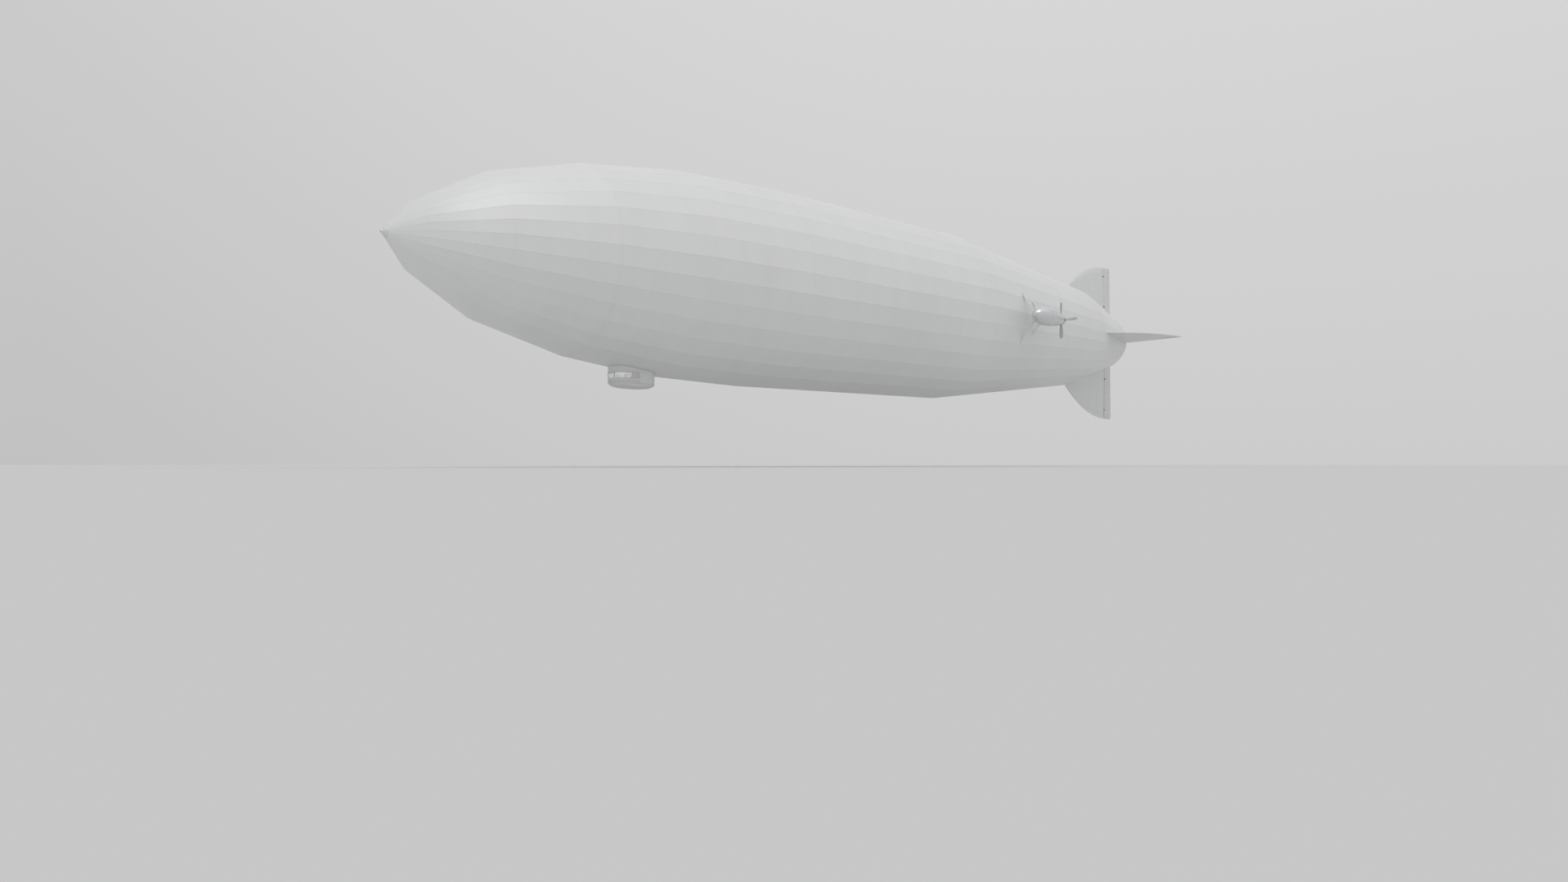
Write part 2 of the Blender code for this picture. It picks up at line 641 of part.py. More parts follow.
def plan_point(place, inset=0.0):
    """A point on the car's plan. Places 0 to 1 are the starboard side, 1 to 2 the front, 2 to 3 the port side."""
    half = CAR_HALF_WIDTH - inset
    if place <= 1.0:
        x = SIDE_WINDOW_BACK_X + (CAR_FRONT_CENTRE_X - SIDE_WINDOW_BACK_X) * place
        return Vector((x, -half, 0))
    if place >= 2.0:
        x = CAR_FRONT_CENTRE_X + (SIDE_WINDOW_BACK_X - CAR_FRONT_CENTRE_X) * (place - 2.0)
        return Vector((x, half, 0))
    angle = math.pi * (place - 1.5)
    reach = CAR_FRONT_REACH - inset
    return Vector((CAR_FRONT_CENTRE_X + reach * math.cos(angle), half * math.sin(angle), 0))


def car_plan(inset=0.0, scale=1.0):
    """The whole plan of the car, from the starboard side round the front and back, scaled about the keel point."""
    corners = [plan_point(1.0 + step / CAR_ARC_STEPS, inset) for step in range(CAR_ARC_STEPS + 1)]
    half = CAR_HALF_WIDTH - inset
    reach = CAR_BACK_REACH - inset
    for step in range(CAR_ARC_STEPS + 1):
        angle = math.pi * (0.5 + step / CAR_ARC_STEPS)
        corners.append(Vector((CAR_BACK_CENTRE_X + reach * math.cos(angle), half * math.sin(angle), 0)))
    keel = Vector((KEEL_POINT_X, 0, 0))
    return [keel + (corner - keel) * scale for corner in corners]


def at_height(corners, z):
    return [Vector((corner.x, corner.y, z)) for corner in corners]


def band(first, last, outer, inner, foot, top):
    """A strip along the car's plan between two places, two insets and two heights."""
    steps = max(1, math.ceil((min(last, 2.0) - max(first, 1.0)) * CAR_ARC_STEPS))
    steps += 1 - steps % 2  # an odd count keeps the strip's corners off the wall's own
    rings = []
    for step in range(steps + 1):
        place = first + (last - first) * step / steps
        near = plan_point(place, outer)
        far = plan_point(place, inner)
        rings.append([Vector((p.x, p.y, z)) for p, z in ((near, foot), (near, top), (far, top), (far, foot))])
    return loft(rings)


def shrunk(first, last, width):
    """Places of a pane's ends, drawn in by a width so that a post stands between two panes."""
    front_length = math.pi * (CAR_FRONT_REACH + CAR_HALF_WIDTH) / 2
    side_length = CAR_FRONT_CENTRE_X - SIDE_WINDOW_BACK_X
    length = side_length if first < 1.0 or first >= 2.0 else front_length
    return first + width / length, last - width / length


def make_car(finishes):
    rings = [
        at_height(car_plan(), WALL_FOOT_Z),
        at_height(car_plan(), CAR_TOP_BLANK_Z),
        at_height(car_plan(CAR_WALL), CAR_TOP_BLANK_Z),
        at_height(car_plan(CAR_WALL), WALL_FOOT_Z),
    ]
    shell = mesh_object("car_shell", *loft(rings, looped=True), finishes["car"])
    boolean(shell, hull_tool("hull_for_car"), "DIFFERENCE")
    for name, first, last in PANES:
        start, end = shrunk(first, last, POST_WIDTH / 2)
        hole = band(start, end, -CUT_OVERRUN, CAR_WALL + CUT_OVERRUN, WINDOW_SILL_Z, WINDOW_TOP_Z)
        boolean(shell, mesh_object("opening_" + name, *hole), "DIFFERENCE")
        start, end = shrunk(first, last, POST_WIDTH / 2 + GAP)
        back = PANE_INSET + PANE_THICKNESS
        glass = band(start, end, PANE_INSET, back, WINDOW_SILL_Z + GAP, WINDOW_TOP_Z - GAP)
        mesh_object(name, *glass, finishes["glass"])
    make_door(shell, finishes)
    make_car_bottom(finishes)
    make_car_inside(finishes)


def make_door(shell, finishes):
    outside = -CAR_HALF_WIDTH
    inside = outside + CAR_WALL
    opening = box(
        (DOOR_BACK_X - DOOR_GAP, outside - CUT_OVERRUN, DOOR_FOOT_Z - DOOR_GAP),
        (DOOR_FRONT_X + DOOR_GAP, inside + CUT_OVERRUN, DOOR_TOP_Z + DOOR_GAP),
    )
    boolean(shell, mesh_object("door_opening", *opening), "DIFFERENCE")
    leaf = box((DOOR_BACK_X, outside, DOOR_FOOT_Z), (DOOR_FRONT_X, inside, DOOR_TOP_Z))
    hinge = (DOOR_HINGE_X, DOOR_HINGE_Y, 0)
    door = mesh_object("car_door", *leaf, finishes["car"], hinge)
    window = box(
        (DOOR_WINDOW_BACK_X, outside - CUT_OVERRUN, WINDOW_SILL_Z),
        (DOOR_WINDOW_FRONT_X, inside + CUT_OVERRUN, WINDOW_TOP_Z),
    )
    boolean(door, mesh_object("door_window", *window), "DIFFERENCE")
    pane = box(
        (DOOR_WINDOW_BACK_X + GAP, outside + PANE_INSET, WINDOW_SILL_Z + GAP),
        (DOOR_WINDOW_FRONT_X - GAP, outside + PANE_INSET + PANE_THICKNESS, WINDOW_TOP_Z - GAP),
    )
    mesh_object("pane_door", *pane, finishes["glass"], hinge)
    for number, height in enumerate(DOOR_HINGE_HEIGHTS):
        make_door_hinge(shell, door, number, height)


def make_door_hinge(shell, door, number, height):
    """A knuckle on the door between two arms on the wall, which hold its pin."""
    centre = (DOOR_HINGE_X, DOOR_HINGE_Y, height)
    skin = -CAR_HALF_WIDTH
    foot = height - KNUCKLE_HEIGHT / 2
    top = height + KNUCKLE_HEIGHT / 2
    leaf = box(
        (DOOR_FRONT_X - HINGE_LEAF_REACH, DOOR_HINGE_Y - HINGE_EDGE, foot),
        (DOOR_HINGE_X - HINGE_EDGE, skin - HINGE_LEAF_LIFT, top),
    )
    strap = box(
        (DOOR_FRONT_X - HINGE_LEAF_REACH, DOOR_HINGE_Y - HINGE_EDGE, foot),
        (DOOR_FRONT_X - HINGE_STRAP_END, skin + HINGE_LEAF_SUNK, top),
    )
    knuckle = cylinder(centre, KNUCKLE_RADIUS, KNUCKLE_HEIGHT, KNUCKLE_SIDES)
    for word, shape in (("leaf", leaf), ("strap", strap), ("knuckle", knuckle)):
        boolean(door, mesh_object(f"door_{word}_{number}", *shape), "UNION")
    bore = cylinder(centre, KNUCKLE_PIN_RADIUS + PIN_CLEARANCE, 2 * KNUCKLE_HEIGHT, KNUCKLE_SIDES)
    boolean(door, mesh_object(f"door_bore_{number}", *bore), "DIFFERENCE")
    rise = KNUCKLE_HEIGHT / 2 + PIN_CLEARANCE + HINGE_ARM_HEIGHT / 2
    pin = cylinder(centre, KNUCKLE_PIN_RADIUS, 2 * rise, KNUCKLE_SIDES)
    boolean(shell, mesh_object(f"door_pin_{number}", *pin), "UNION")
    for along in (-1, 1):
        arm_z = height + along * rise
        boss = cylinder((DOOR_HINGE_X, DOOR_HINGE_Y, arm_z), KNUCKLE_RADIUS, HINGE_ARM_HEIGHT, KNUCKLE_SIDES)
        arm = box(
            (DOOR_HINGE_X - HINGE_EDGE, DOOR_HINGE_Y, arm_z - HINGE_ARM_HEIGHT / 3),
            (DOOR_HINGE_X + HINGE_ARM_REACH, skin + HINGE_ARM_SUNK, arm_z + HINGE_ARM_HEIGHT / 3),
        )
        for word, shape in (("boss", boss), ("arm", arm)):
            boolean(shell, mesh_object(f"door_{word}_{number}_{along + 1}", *shape), "UNION")


def make_car_bottom(finishes):
    """A boat-shaped tray under the wall, with the deck in it."""
    outer = [at_height(car_plan(0.0, scale), z) for z, scale in CAR_BOTTOM_RINGS]
    inner = [
        at_height(car_plan(CAR_BOTTOM_WALL, scale), z + (CAR_BOTTOM_WALL if scale < 1.0 else 0.0))
        for z, scale in CAR_BOTTOM_RINGS
    ]
    mesh_object("car_bottom", *loft(list(reversed(outer)) + inner), finishes["car"])
    deck = mesh_object("car_deck", *deck_shape(), finishes["deck"])
    room = [at_height(car_plan(CAR_BOTTOM_WALL + 3 * GAP), DECK_ROOM_TOP_Z), *inner_room()]
    boolean(deck, mesh_object("deck_room", *loft(room)), "INTERSECT")


def inner_room():
    """The tray's inside, smaller by a little more than the gap."""
    rings = []
    for z, scale in CAR_BOTTOM_RINGS:
        lift = CAR_BOTTOM_WALL if scale < 1.0 else 0.0
        rings.append(at_height(car_plan(CAR_BOTTOM_WALL + 2 * GAP, scale), z + lift + GAP))
    return rings


def deck_shape():
    plan = car_plan()
    return loft([at_height(plan, DECK_TOP_Z - DECK_THICKNESS), at_height(plan, DECK_TOP_Z)])


def steering_wheel(centre, along):
    """Points and faces of a wheel's rim, square to an axis."""
    rings = []
    for step in range(HELM_WHEEL_SIDES):
        angle = math.tau * step / HELM_WHEEL_SIDES
        ring = []
        for corner in range(WHEEL_RIM_SIDES):
            turn = math.tau * corner / WHEEL_RIM_SIDES
            reach = HELM_WHEEL_RADIUS + WHEEL_RIM_RADIUS * math.cos(turn)
            side = WHEEL_RIM_RADIUS * math.sin(turn)
            flat = (reach * math.cos(angle), reach * math.sin(angle))
            offset = (side, flat[0], flat[1]) if along == "X" else (flat[0], side, flat[1])
            ring.append(Vector(centre) + Vector(offset))
        rings.append(ring)
    return loft(rings, looped=True)


def axis_step(along, length):
    """A step aft for a wheel square to the ship's length, or inboard for one square to its beam."""
    return Vector((-length, 0, 0)) if along == "X" else Vector((0, -length, 0))


def make_helm(name, x, y, along, finishes):
    """A wheel on a pedestal that stands on the deck."""
    centre = Vector((x, y, HELM_WHEEL_Z))
    half = HELM_STAND_HALF
    post = box((x - half, y - half, DECK_TOP_Z + GAP), (x + half, y + half, HELM_WHEEL_Z + half))
    stand = mesh_object(name, *post, finishes["fitting"])
    plane = centre + axis_step(along, HELM_WHEEL_STEP)
    boolean(stand, mesh_object("rim_" + name, *steering_wheel(plane, along)), "UNION")
    hub_centre = centre + axis_step(along, HELM_HUB_STEP)
    hub = cylinder(hub_centre, HELM_HUB_RADIUS, HELM_HUB_LENGTH, WHEEL_RIM_SIDES * 2, along)
    boolean(stand, mesh_object("hub_" + name, *hub), "UNION")
    spokes = ((HELM_WHEEL_RADIUS, SPOKE_HALF_WIDTH), (SPOKE_HALF_WIDTH, HELM_WHEEL_RADIUS))
    for number, (wide, tall) in enumerate(spokes):
        reach = Vector((SPOKE_HALF_DEPTH, wide, tall) if along == "X" else (wide, SPOKE_HALF_DEPTH, tall))
        boolean(stand, mesh_object(f"spoke_{name}_{number}", *box(plane - reach, plane + reach)), "UNION")


def make_car_inside(finishes):
    make_helm("helm_rudder", HELM_X, 0.0, "X", finishes)
    make_helm("helm_elevator", ELEVATOR_WHEEL_X, ELEVATOR_WHEEL_Y, "Y", finishes)
    thick = CHART_TABLE_THICKNESS
    underside = CHART_TABLE_TOP_Z - thick
    top = box(
        (CHART_TABLE_BACK_X, CHART_TABLE_INNER_Y, underside),
        (CHART_TABLE_FRONT_X, CHART_TABLE_OUTER_Y, CHART_TABLE_TOP_Z),
    )
    table = mesh_object("chart_table", *top, finishes["deck"])
    for number, x in enumerate((CHART_TABLE_BACK_X + thick, CHART_TABLE_FRONT_X - thick)):
        leg = box(
            (x - thick / 2, CHART_TABLE_LEGS[0], DECK_TOP_Z + GAP),
            (x + thick / 2, CHART_TABLE_LEGS[1], underside + thick / 2),
        )
        boolean(table, mesh_object(f"table_leg_{number}", *leg), "UNION")


def main():
    clear_scene()
    finishes = make_materials()
    make_hull(finishes)
    for name, surface, degrees in FINS:
        make_fin(name, surface, degrees, finishes)
    for word, side in (("port", 1), ("starboard", -1)):
        make_nacelle(word, side, finishes)
    make_car(finishes)


main()
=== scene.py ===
import json
import math

import bmesh
import bpy
from mathutils import Matrix, Vector


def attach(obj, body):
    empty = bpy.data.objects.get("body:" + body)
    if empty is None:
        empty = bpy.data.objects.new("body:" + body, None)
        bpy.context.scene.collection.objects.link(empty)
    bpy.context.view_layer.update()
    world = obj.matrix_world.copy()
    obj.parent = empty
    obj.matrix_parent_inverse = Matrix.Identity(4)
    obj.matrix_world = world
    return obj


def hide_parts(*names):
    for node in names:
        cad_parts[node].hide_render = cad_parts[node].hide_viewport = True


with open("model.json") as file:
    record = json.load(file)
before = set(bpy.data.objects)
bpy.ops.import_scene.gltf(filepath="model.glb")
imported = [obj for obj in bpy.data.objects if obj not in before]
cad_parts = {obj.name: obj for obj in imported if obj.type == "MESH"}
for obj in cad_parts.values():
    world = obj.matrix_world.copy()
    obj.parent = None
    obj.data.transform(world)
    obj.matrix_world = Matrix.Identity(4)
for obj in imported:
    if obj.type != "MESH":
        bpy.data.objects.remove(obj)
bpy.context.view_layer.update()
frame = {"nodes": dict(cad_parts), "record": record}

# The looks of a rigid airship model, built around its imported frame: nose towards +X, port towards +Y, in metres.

# Camera, as the photograph was taken: at floor level, level with no roll, looking aft from ahead of the port bow
CAMERA_PLACE = (10.378, 10.331, -2.419)
CAMERA_LOOK = (-0.66618, -0.74541, 0.02398)
CAMERA_LENS = 22.57
CAMERA_SENSOR = 36.0
FLOOR_Z = -2.450
FLOOR_SIZE = 600.0
FLOOR_COLOUR = (0.67, 0.672, 0.672, 1.0)

# Light: a pale room and a broad lamp overhead
ROOM_LIGHT = 0.604
ROOM_RISE = 0.17
ROOM_RIGHT = (-0.745, 0.666, 0.0)
ROOM_EDGE = 0.6
ROOM_SHADE = 0.071
OVERHEAD_STRENGTH = 0.55
OVERHEAD_SPREAD = 34
CABIN_LAMP = (3.670, 0.0, -1.260)
CABIN_STRENGTH = 0.7
OVERHEAD_WAY = (-0.29, -0.33, -0.90)

# Hull: distance aft of the nose, and radius at the ridges
NOSE_X = 6.75
SIDES = 32
HULL_RINGS = (
    (0.000, 0.000),
    (0.321, 0.377),
    (1.088, 0.824),
    (2.213, 1.137),
    (3.450, 1.304),
    (4.930, 1.356),
    (8.862, 1.334),
    (12.617, 0.923),
    (14.112, 0.505),
    (14.430, 0.335),
    (14.660, 0.207),
    (14.780, 0.140),
    (14.840, 0.070),
)
HULL_SECTIONS = (
    ("nose_cap", 0.060, 0.321),
    ("bow_section", 0.321, 2.213),
    ("fore_section", 2.213, 4.930),
    ("midship_section_fore", 4.930, 6.900),
    ("midship_section_aft", 6.900, 8.862),
    ("aft_section", 8.862, 10.740),
    ("quarter_section", 10.740, 12.617),
    ("fin_section", 12.617, 14.112),
    ("tail_cap", 14.112, 14.8395),
)
SKIN = 0.010
COVER_STEP = 0.16  # longest bay of the visible cover, along the ship
FRAME_STEP = 0.750  # between two main frames, which show through the cover
WEAVE = 1600.0  # threads of the cover for each radian of the weave's waves
TAPE_HALF = 0.006
TAPE_EDGE = 0.0015
RIDGE_TAPE_HEIGHT = 0.0008
FRAME_TAPE_HEIGHT = 0.0005
TAPED_HULL = (0.34, 14.10)

# Nose spindle and tail plate
SPINDLE_PROFILE = ((0.0005, 0.010), (0.000, 0.0145), (0.002, 0.016), (0.014, 0.019), (0.018, 0.0215), (0.020, 0.029))
SPINDLE_FLARE = ((0.024, 0.034), (0.034, 0.0445), (0.048, 0.058), (0.0597, 0.066))
SPINDLE_SOCKET = ((0.014, 0.0085), (0.0015, 0.0085))
TAIL_PLATE = 14.8387

# Fins, as the top one: distances aft of the nose, and from the hull's axis
FIN_TRAIL = 14.385
HINGE_STATION = 14.1375
FIN_ROOT_RADIUS = 0.913
FIN_RISE = 0.602
FIN_CHORD = 1.630
FIN_POWER = 2.4
FIN_START = 12.710
FIN_BACK = 14.0895
FIN_FULLNESS = (0.25, 2.2)
FIN_HALF_ROOT = 0.042
FIN_HALF_TIP = 0.016
FIN_HALF_EDGE = 0.005
FIN_ROUNDED_FROM = 0.86
RUDDER_HALF_TRAIL = 0.003
RUDDER_CLEAR = 0.012
RUDDER_COLUMNS = 6
HINGE_SPANS = (0.720, 1.330)
LUG_HEIGHT = 0.020
LUG_RADIUS = 0.009
NOTCH_HALF = 0.016
NOTCH_DEPTH = 0.015
FINS = (
    ("fin_top", "rudder_top", "rudder_top", 0),
    ("fin_starboard", "elevator_starboard", "elevator_starboard", 90),
    ("fin_bottom", "rudder_bottom", "rudder_bottom", 180),
    ("fin_port", "elevator_port", "elevator_port", 270),
)

# Nacelles, propellers and struts
NACELLE_FRONT_X = -2.670
NACELLE_Y = 1.575
NACELLE_Z = -0.080
NACELLE_SPLIT = 0.300
NACELLE_LENGTH = 0.705
NACELLE_DROOP = 0.025
DROOP_POWER = 1.5
NACELLE_WALL = 0.006
NACELLE_PROFILE = (
    (0.000, 0.020),
    (0.012, 0.044),
    (0.045, 0.078),
    (0.105, 0.112),
    (0.190, 0.138),
    (0.300, 0.148),
    (0.410, 0.144),
    (0.510, 0.130),
    (0.600, 0.110),
    (0.665, 0.092),
    (0.705, 0.080),
)
HUB_FRONT_X = -3.381
HUB_PROFILE = (
    (0.000, 0.070),
    (0.004, 0.076),
    (0.040, 0.073),
    (0.066, 0.058),
    (0.084, 0.036),
    (0.093, 0.014),
    (0.094, 0.005),
)
BLADE_PLANE = 0.029
BLADE_COUNT = 4
BLADE_SECTIONS = (
    (0.050, 0.026, 0.0080, 50),
    (0.090, 0.036, 0.0066, 42),
    (0.140, 0.050, 0.0052, 34),
    (0.215, 0.058, 0.0040, 27),
    (0.262, 0.050, 0.0030, 23),
    (0.284, 0.032, 0.0022, 21),
    (0.292, 0.014, 0.0016, 20),
)
STRUT_PAIRS = (
    ("struts_front", -2.900, -2.930, 0.011, 0.040, 15, -21),
    ("struts_rear", -3.200, -3.150, 0.009, 0.034, 10, -14),
)
STRUT_MEETING = 0.135

# Control car
CAR_FRONT_CENTRE_X = 3.770
CAR_FRONT_REACH = 0.225
CAR_BACK_CENTRE_X = 3.548
CAR_BACK_REACH = 0.1725
CAR_HALF_WIDTH = 0.1725
CAR_WALL = 0.009
CAR_ARC_STEPS = 48
CAR_TOP_Z = -1.150
WINDOW_TOP_Z = -1.297
WINDOW_SILL_Z = -1.364
WALL_FOOT_Z = -1.425
CAR_BOTTOM_RINGS = ((-1.4253, 1.0), (-1.446, 0.945), (-1.463, 0.820), (-1.475, 0.610), (-1.481, 0.340))
CAR_BOTTOM_WALL = 0.010
KEEL_POINT_X = 3.640
DECK_TOP_Z = -1.451
SIDE_WINDOW_BACK_X = 3.671
POST_WIDTH = 0.010
WINDOWS = ((0.0, 1.0), (1.0, 1.36), (1.36, 1.64), (1.64, 2.0), (2.0, 3.0))
DOOR_SPAN = (3.560, 3.652)
DOOR_HEIGHTS = (-1.409, -1.279)
DOOR_GAP = 0.005
DOOR_WINDOW = (3.584, 3.630)
DOOR_HINGE = (3.658, -0.1795)
DOOR_HINGE_HEIGHTS = (-1.385, -1.303)
HELMS = (("helm_rudder", 3.880, 0.0, "X"), ("helm_elevator", 3.760, 0.105, "Y"))
HELM_WHEEL_Z = -1.380
CHART_TABLE = ((3.480, 0.010), (3.580, 0.120), -1.378)


def loft(rings, looped=False, capped=True):
    """Points and faces of a skin over rings of equal count."""
    count = len(rings[0])
    points = [point for ring in rings for point in ring]
    faces = []
    for step in range(len(rings) if looped else len(rings) - 1):
        near = step * count
        far = ((step + 1) % len(rings)) * count
        for side in range(count):
            other = (side + 1) % count
            faces.append((near + side, near + other, far + other, far + side))
    if capped and not looped:
        faces.append(tuple(range(count)))
        faces.append(tuple(range((len(rings) - 1) * count, len(rings) * count)))
    return points, faces


def ribbon(rows):
    """Points and faces of an open strip through rows of equal count."""
    count = len(rows[0])
    points = [point for row in rows for point in row]
    faces = []
    for step in range(len(rows) - 1):
        for side in range(count - 1):
            corner = step * count + side
            faces.append((corner, corner + 1, corner + count + 1, corner + count))
    return points, faces


def joined(shapes):
    points = []
    faces = []
    for some_points, some_faces in shapes:
        faces.extend(tuple(len(points) + corner for corner in face) for face in some_faces)
        points.extend(some_points)
    return points, faces


def moved(shape, matrix):
    return [matrix @ Vector(point) for point in shape[0]], shape[1]


def wheel_ring(centre, radius, sides, along="X"):
    """Corners of a regular polygon about a centre, square to an axis."""
    ring = []
    for step in range(sides):
        angle = math.tau * step / sides
        across = radius * math.cos(angle)
        up = radius * math.sin(angle)
        offset = {"X": (0, across, up), "Y": (across, 0, up), "Z": (across, up, 0)}[along]
        ring.append(Vector(centre) + Vector(offset))
    return ring


def lathe(centre, profile, sides, along="X", way=1):
    """A turned shape from distances along an axis and radii there."""
    axis = {"X": Vector((1, 0, 0)), "Y": Vector((0, 1, 0)), "Z": Vector((0, 0, 1))}[along] * way
    return loft([wheel_ring(Vector(centre) + axis * place, radius, sides, along) for place, radius in profile])


def pointing(place, normal):
    """A frame at a place with its third axis along a normal."""
    turn = Vector(normal).to_track_quat("Z", "Y").to_matrix().to_4x4()
    return Matrix.Translation(Vector(place)) @ turn


def rivet(place, normal, radius, rise=0.5):
    """A small domed head on a surface."""
    rings = [wheel_ring((0, 0, -radius * 0.2), radius, 8, "Z")]
    rings.append(wheel_ring((0, 0, radius * rise * 0.6), radius * 0.82, 8, "Z"))
    rings.append(wheel_ring((0, 0, radius * rise), radius * 0.4, 8, "Z"))
    return moved(loft(rings), pointing(place, normal))


def bolt(place, normal, radius, height):
    """A six-sided head with a washer and a rounded top."""
    profile = ((0.0, 1.45, 12), (0.22, 1.45, 12), (0.22, 1.0, 6), (0.85, 1.0, 6), (1.0, 0.8, 6))
    washer = loft([wheel_ring((0, 0, rise * height), radius * share, 12, "Z") for rise, share, _ in profile[:2]])
    head = loft([wheel_ring((0, 0, rise * height), radius * share, 6, "Z") for rise, share, _ in profile[2:]])
    return moved(joined([washer, head]), pointing(place, normal))


def rounded_box(low, high, edge):
    """A box with its edges cut at an angle, the long way up."""
    rings = []
    for z, inset in ((low[2], edge), (low[2] + edge, 0.0), (high[2] - edge, 0.0), (high[2], edge)):
        x0, x1 = low[0] + inset, high[0] - inset
        y0, y1 = low[1] + inset, high[1] - inset
        corners = ((x0, y0 + edge), (x0 + edge, y0), (x1 - edge, y0), (x1, y0 + edge))
        corners += ((x1, y1 - edge), (x1 - edge, y1), (x0 + edge, y1), (x0, y1 - edge))
        rings.append([Vector((x, y, z)) for x, y in corners])
    return loft(rings)


def pipe(path, radius, sides=10, looped=False):
    """A round bar along a path."""
    rings = []
    count = len(path)
    for place, point in enumerate(path):
        before = path[(place - 1) % count] if looped or place > 0 else point
        after = path[(place + 1) % count] if looped or place < count - 1 else point
        along = (Vector(after) - Vector(before)).normalized()
        side = along.cross(Vector((0, 0, 1)))
        side = side.normalized() if side.length > 0.1 else Vector((0, 1, 0))
        up = side.cross(along).normalized()
        ring = []
        for step in range(sides):
            angle = math.tau * step / sides
            ring.append(Vector(point) + side * (radius * math.cos(angle)) + up * (radius * math.sin(angle)))
        rings.append(ring)
    return loft(rings, looped=looped)


def eased(profile, place):
    """A value between the points of a profile, along a smooth curve through them."""
    keys = [key for key, *_ in profile]
    step = next((number for number, key in enumerate(keys[1:]) if place <= key), len(keys) - 2)
    start, end = keys[step], keys[step + 1]
    share = (place - start) / (end - start)
    found = []
    for column in range(1, len(profile[0])):
        values = [row[column] for row in profile]

        def slope(number):
            if number in (0, len(keys) - 1):
                near = min(number, len(keys) - 2)
                return (values[near + 1] - values[near]) / (keys[near + 1] - keys[near])
            back = (values[number] - values[number - 1]) / (keys[number] - keys[number - 1])
            ahead = (values[number + 1] - values[number]) / (keys[number + 1] - keys[number])
            return (back + ahead) / 2

        gap = end - start
        first = values[step] * (2 * share**3 - 3 * share**2 + 1) + slope(step) * gap * share * (1 - share) ** 2
        last = values[step + 1] * (3 * share**2 - 2 * share**3) + slope(step + 1) * gap * share**2 * (share - 1)
        found.append(first + last)
    return found[0] if len(found) == 1 else found


def steps_between(first, last, longest):
    count = max(1, math.ceil((last - first) / longest))
    return [first + (last - first) * step / count for step in range(count + 1)]


def mesh_from(name, points, faces):
    data = bpy.data.meshes.new(name)
    data.from_pydata([tuple(point) for point in points], [], faces)
    shape = bmesh.new()
    shape.from_mesh(data)
    bmesh.ops.recalc_face_normals(shape, faces=shape.faces)
    shape.to_mesh(data)
    shape.free()
    return data


def add_mesh(name, data, finish, body="hull", crease=35, replaces=()):
    """Links a mesh as a piece of the ship, shaded smooth but for edges sharper than the crease angle."""
    made = bpy.data.objects.new(name, data)
    bpy.context.scene.collection.objects.link(made)
    data.materials.clear()
    data.materials.append(FINISHES[finish])
    data.shade_smooth()
    if crease:
        data.set_sharp_from_angle(angle=math.radians(crease))
    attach(made, body)
    if replaces:
        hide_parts(*replaces)
    return made


def add_piece(name, shape, finish, body="hull", crease=35, replaces=()):
    return add_mesh(name, mesh_from(name, *shape), finish, body, crease, replaces)


def cut(shape, tools):
    """A shape with others cut out of it, as a mesh."""
    scene = bpy.context.scene
    target = bpy.data.objects.new("cut", mesh_from("cut", *shape))
    scene.collection.objects.link(target)
    made = [target]
    for tool in tools:
        cutter = bpy.data.objects.new("cutter", mesh_from("cutter", *tool))
        scene.collection.objects.link(cutter)
        made.append(cutter)
        change = target.modifiers.new("cut", "BOOLEAN")
        change.operation = "DIFFERENCE"
        change.solver = "EXACT"
        change.object = cutter
    bpy.context.view_layer.update()
    data = bpy.data.meshes.new_from_object(target.evaluated_get(bpy.context.evaluated_depsgraph_get()))
    for spare in made:
        bpy.data.objects.remove(spare, do_unlink=True)
    return data


class Tree:
    """Short ways to add and join the nodes of a material."""

    def __init__(self, name):
        self.material = bpy.data.materials.new(name)
        self.material.use_nodes = True
        self.nodes = self.material.node_tree.nodes
        self.links = self.material.node_tree.links
        self.shader = self.nodes["Principled BSDF"]

    def add(self, kind, settings=None, **inputs):
        made = self.nodes.new(kind)
        for key, value in (settings or {}).items():
            setattr(made, key, value)
        for key, value in inputs.items():
            self.put(made.inputs[key.replace("_", " ")], value)
        return made

    def put(self, socket, value):
        if isinstance(value, bpy.types.NodeSocket):
            self.links.new(value, socket)
        else:
            socket.default_value = value

    def math(self, operation, first, second=0.0):
        made = self.nodes.new("ShaderNodeMath")
        made.operation = operation
        self.put(made.inputs[0], first)
        self.put(made.inputs[1], second)
        return made.outputs[0]

    def span(self, value, low, high):
        """A value from 0 to 1 brought to a range."""
        made = self.nodes.new("ShaderNodeMapRange")
        self.put(made.inputs["Value"], value)
        made.inputs["To Min"].default_value = low
        made.inputs["To Max"].default_value = high
        return made.outputs["Result"]

    def places(self):
        return self.add("ShaderNodeTexCoord").outputs["Object"]

    def noise(self, vector, scale, detail=3.0):
        return self.add("ShaderNodeTexNoise", Vector=vector, Scale=scale, Detail=detail).outputs["Fac"]

    def tint(self, colour, *factors):
        """A colour made lighter or darker by the product of some factors, into the shader."""
        product = factors[0]
        for factor in factors[1:]:
            product = self.math("MULTIPLY", product, factor)
        scaled = self.add("ShaderNodeVectorMath", {"operation": "SCALE"})
        scaled.inputs[0].default_value = colour
        self.put(scaled.inputs["Scale"], product)
        self.put(self.shader.inputs["Base Color"], scaled.outputs["Vector"])

    def bump(self, height, strength, distance):
        made = self.add("ShaderNodeBump", Height=height, Strength=strength, Distance=distance)
        self.put(self.shader.inputs["Normal"], made.outputs["Normal"])

    def surface(self, roughness, metallic=0.0, coat=0.0):
        self.put(self.shader.inputs["Roughness"], roughness)
        self.shader.inputs["Metallic"].default_value = metallic
        self.shader.inputs["Coat Weight"].default_value = coat
        return self.material


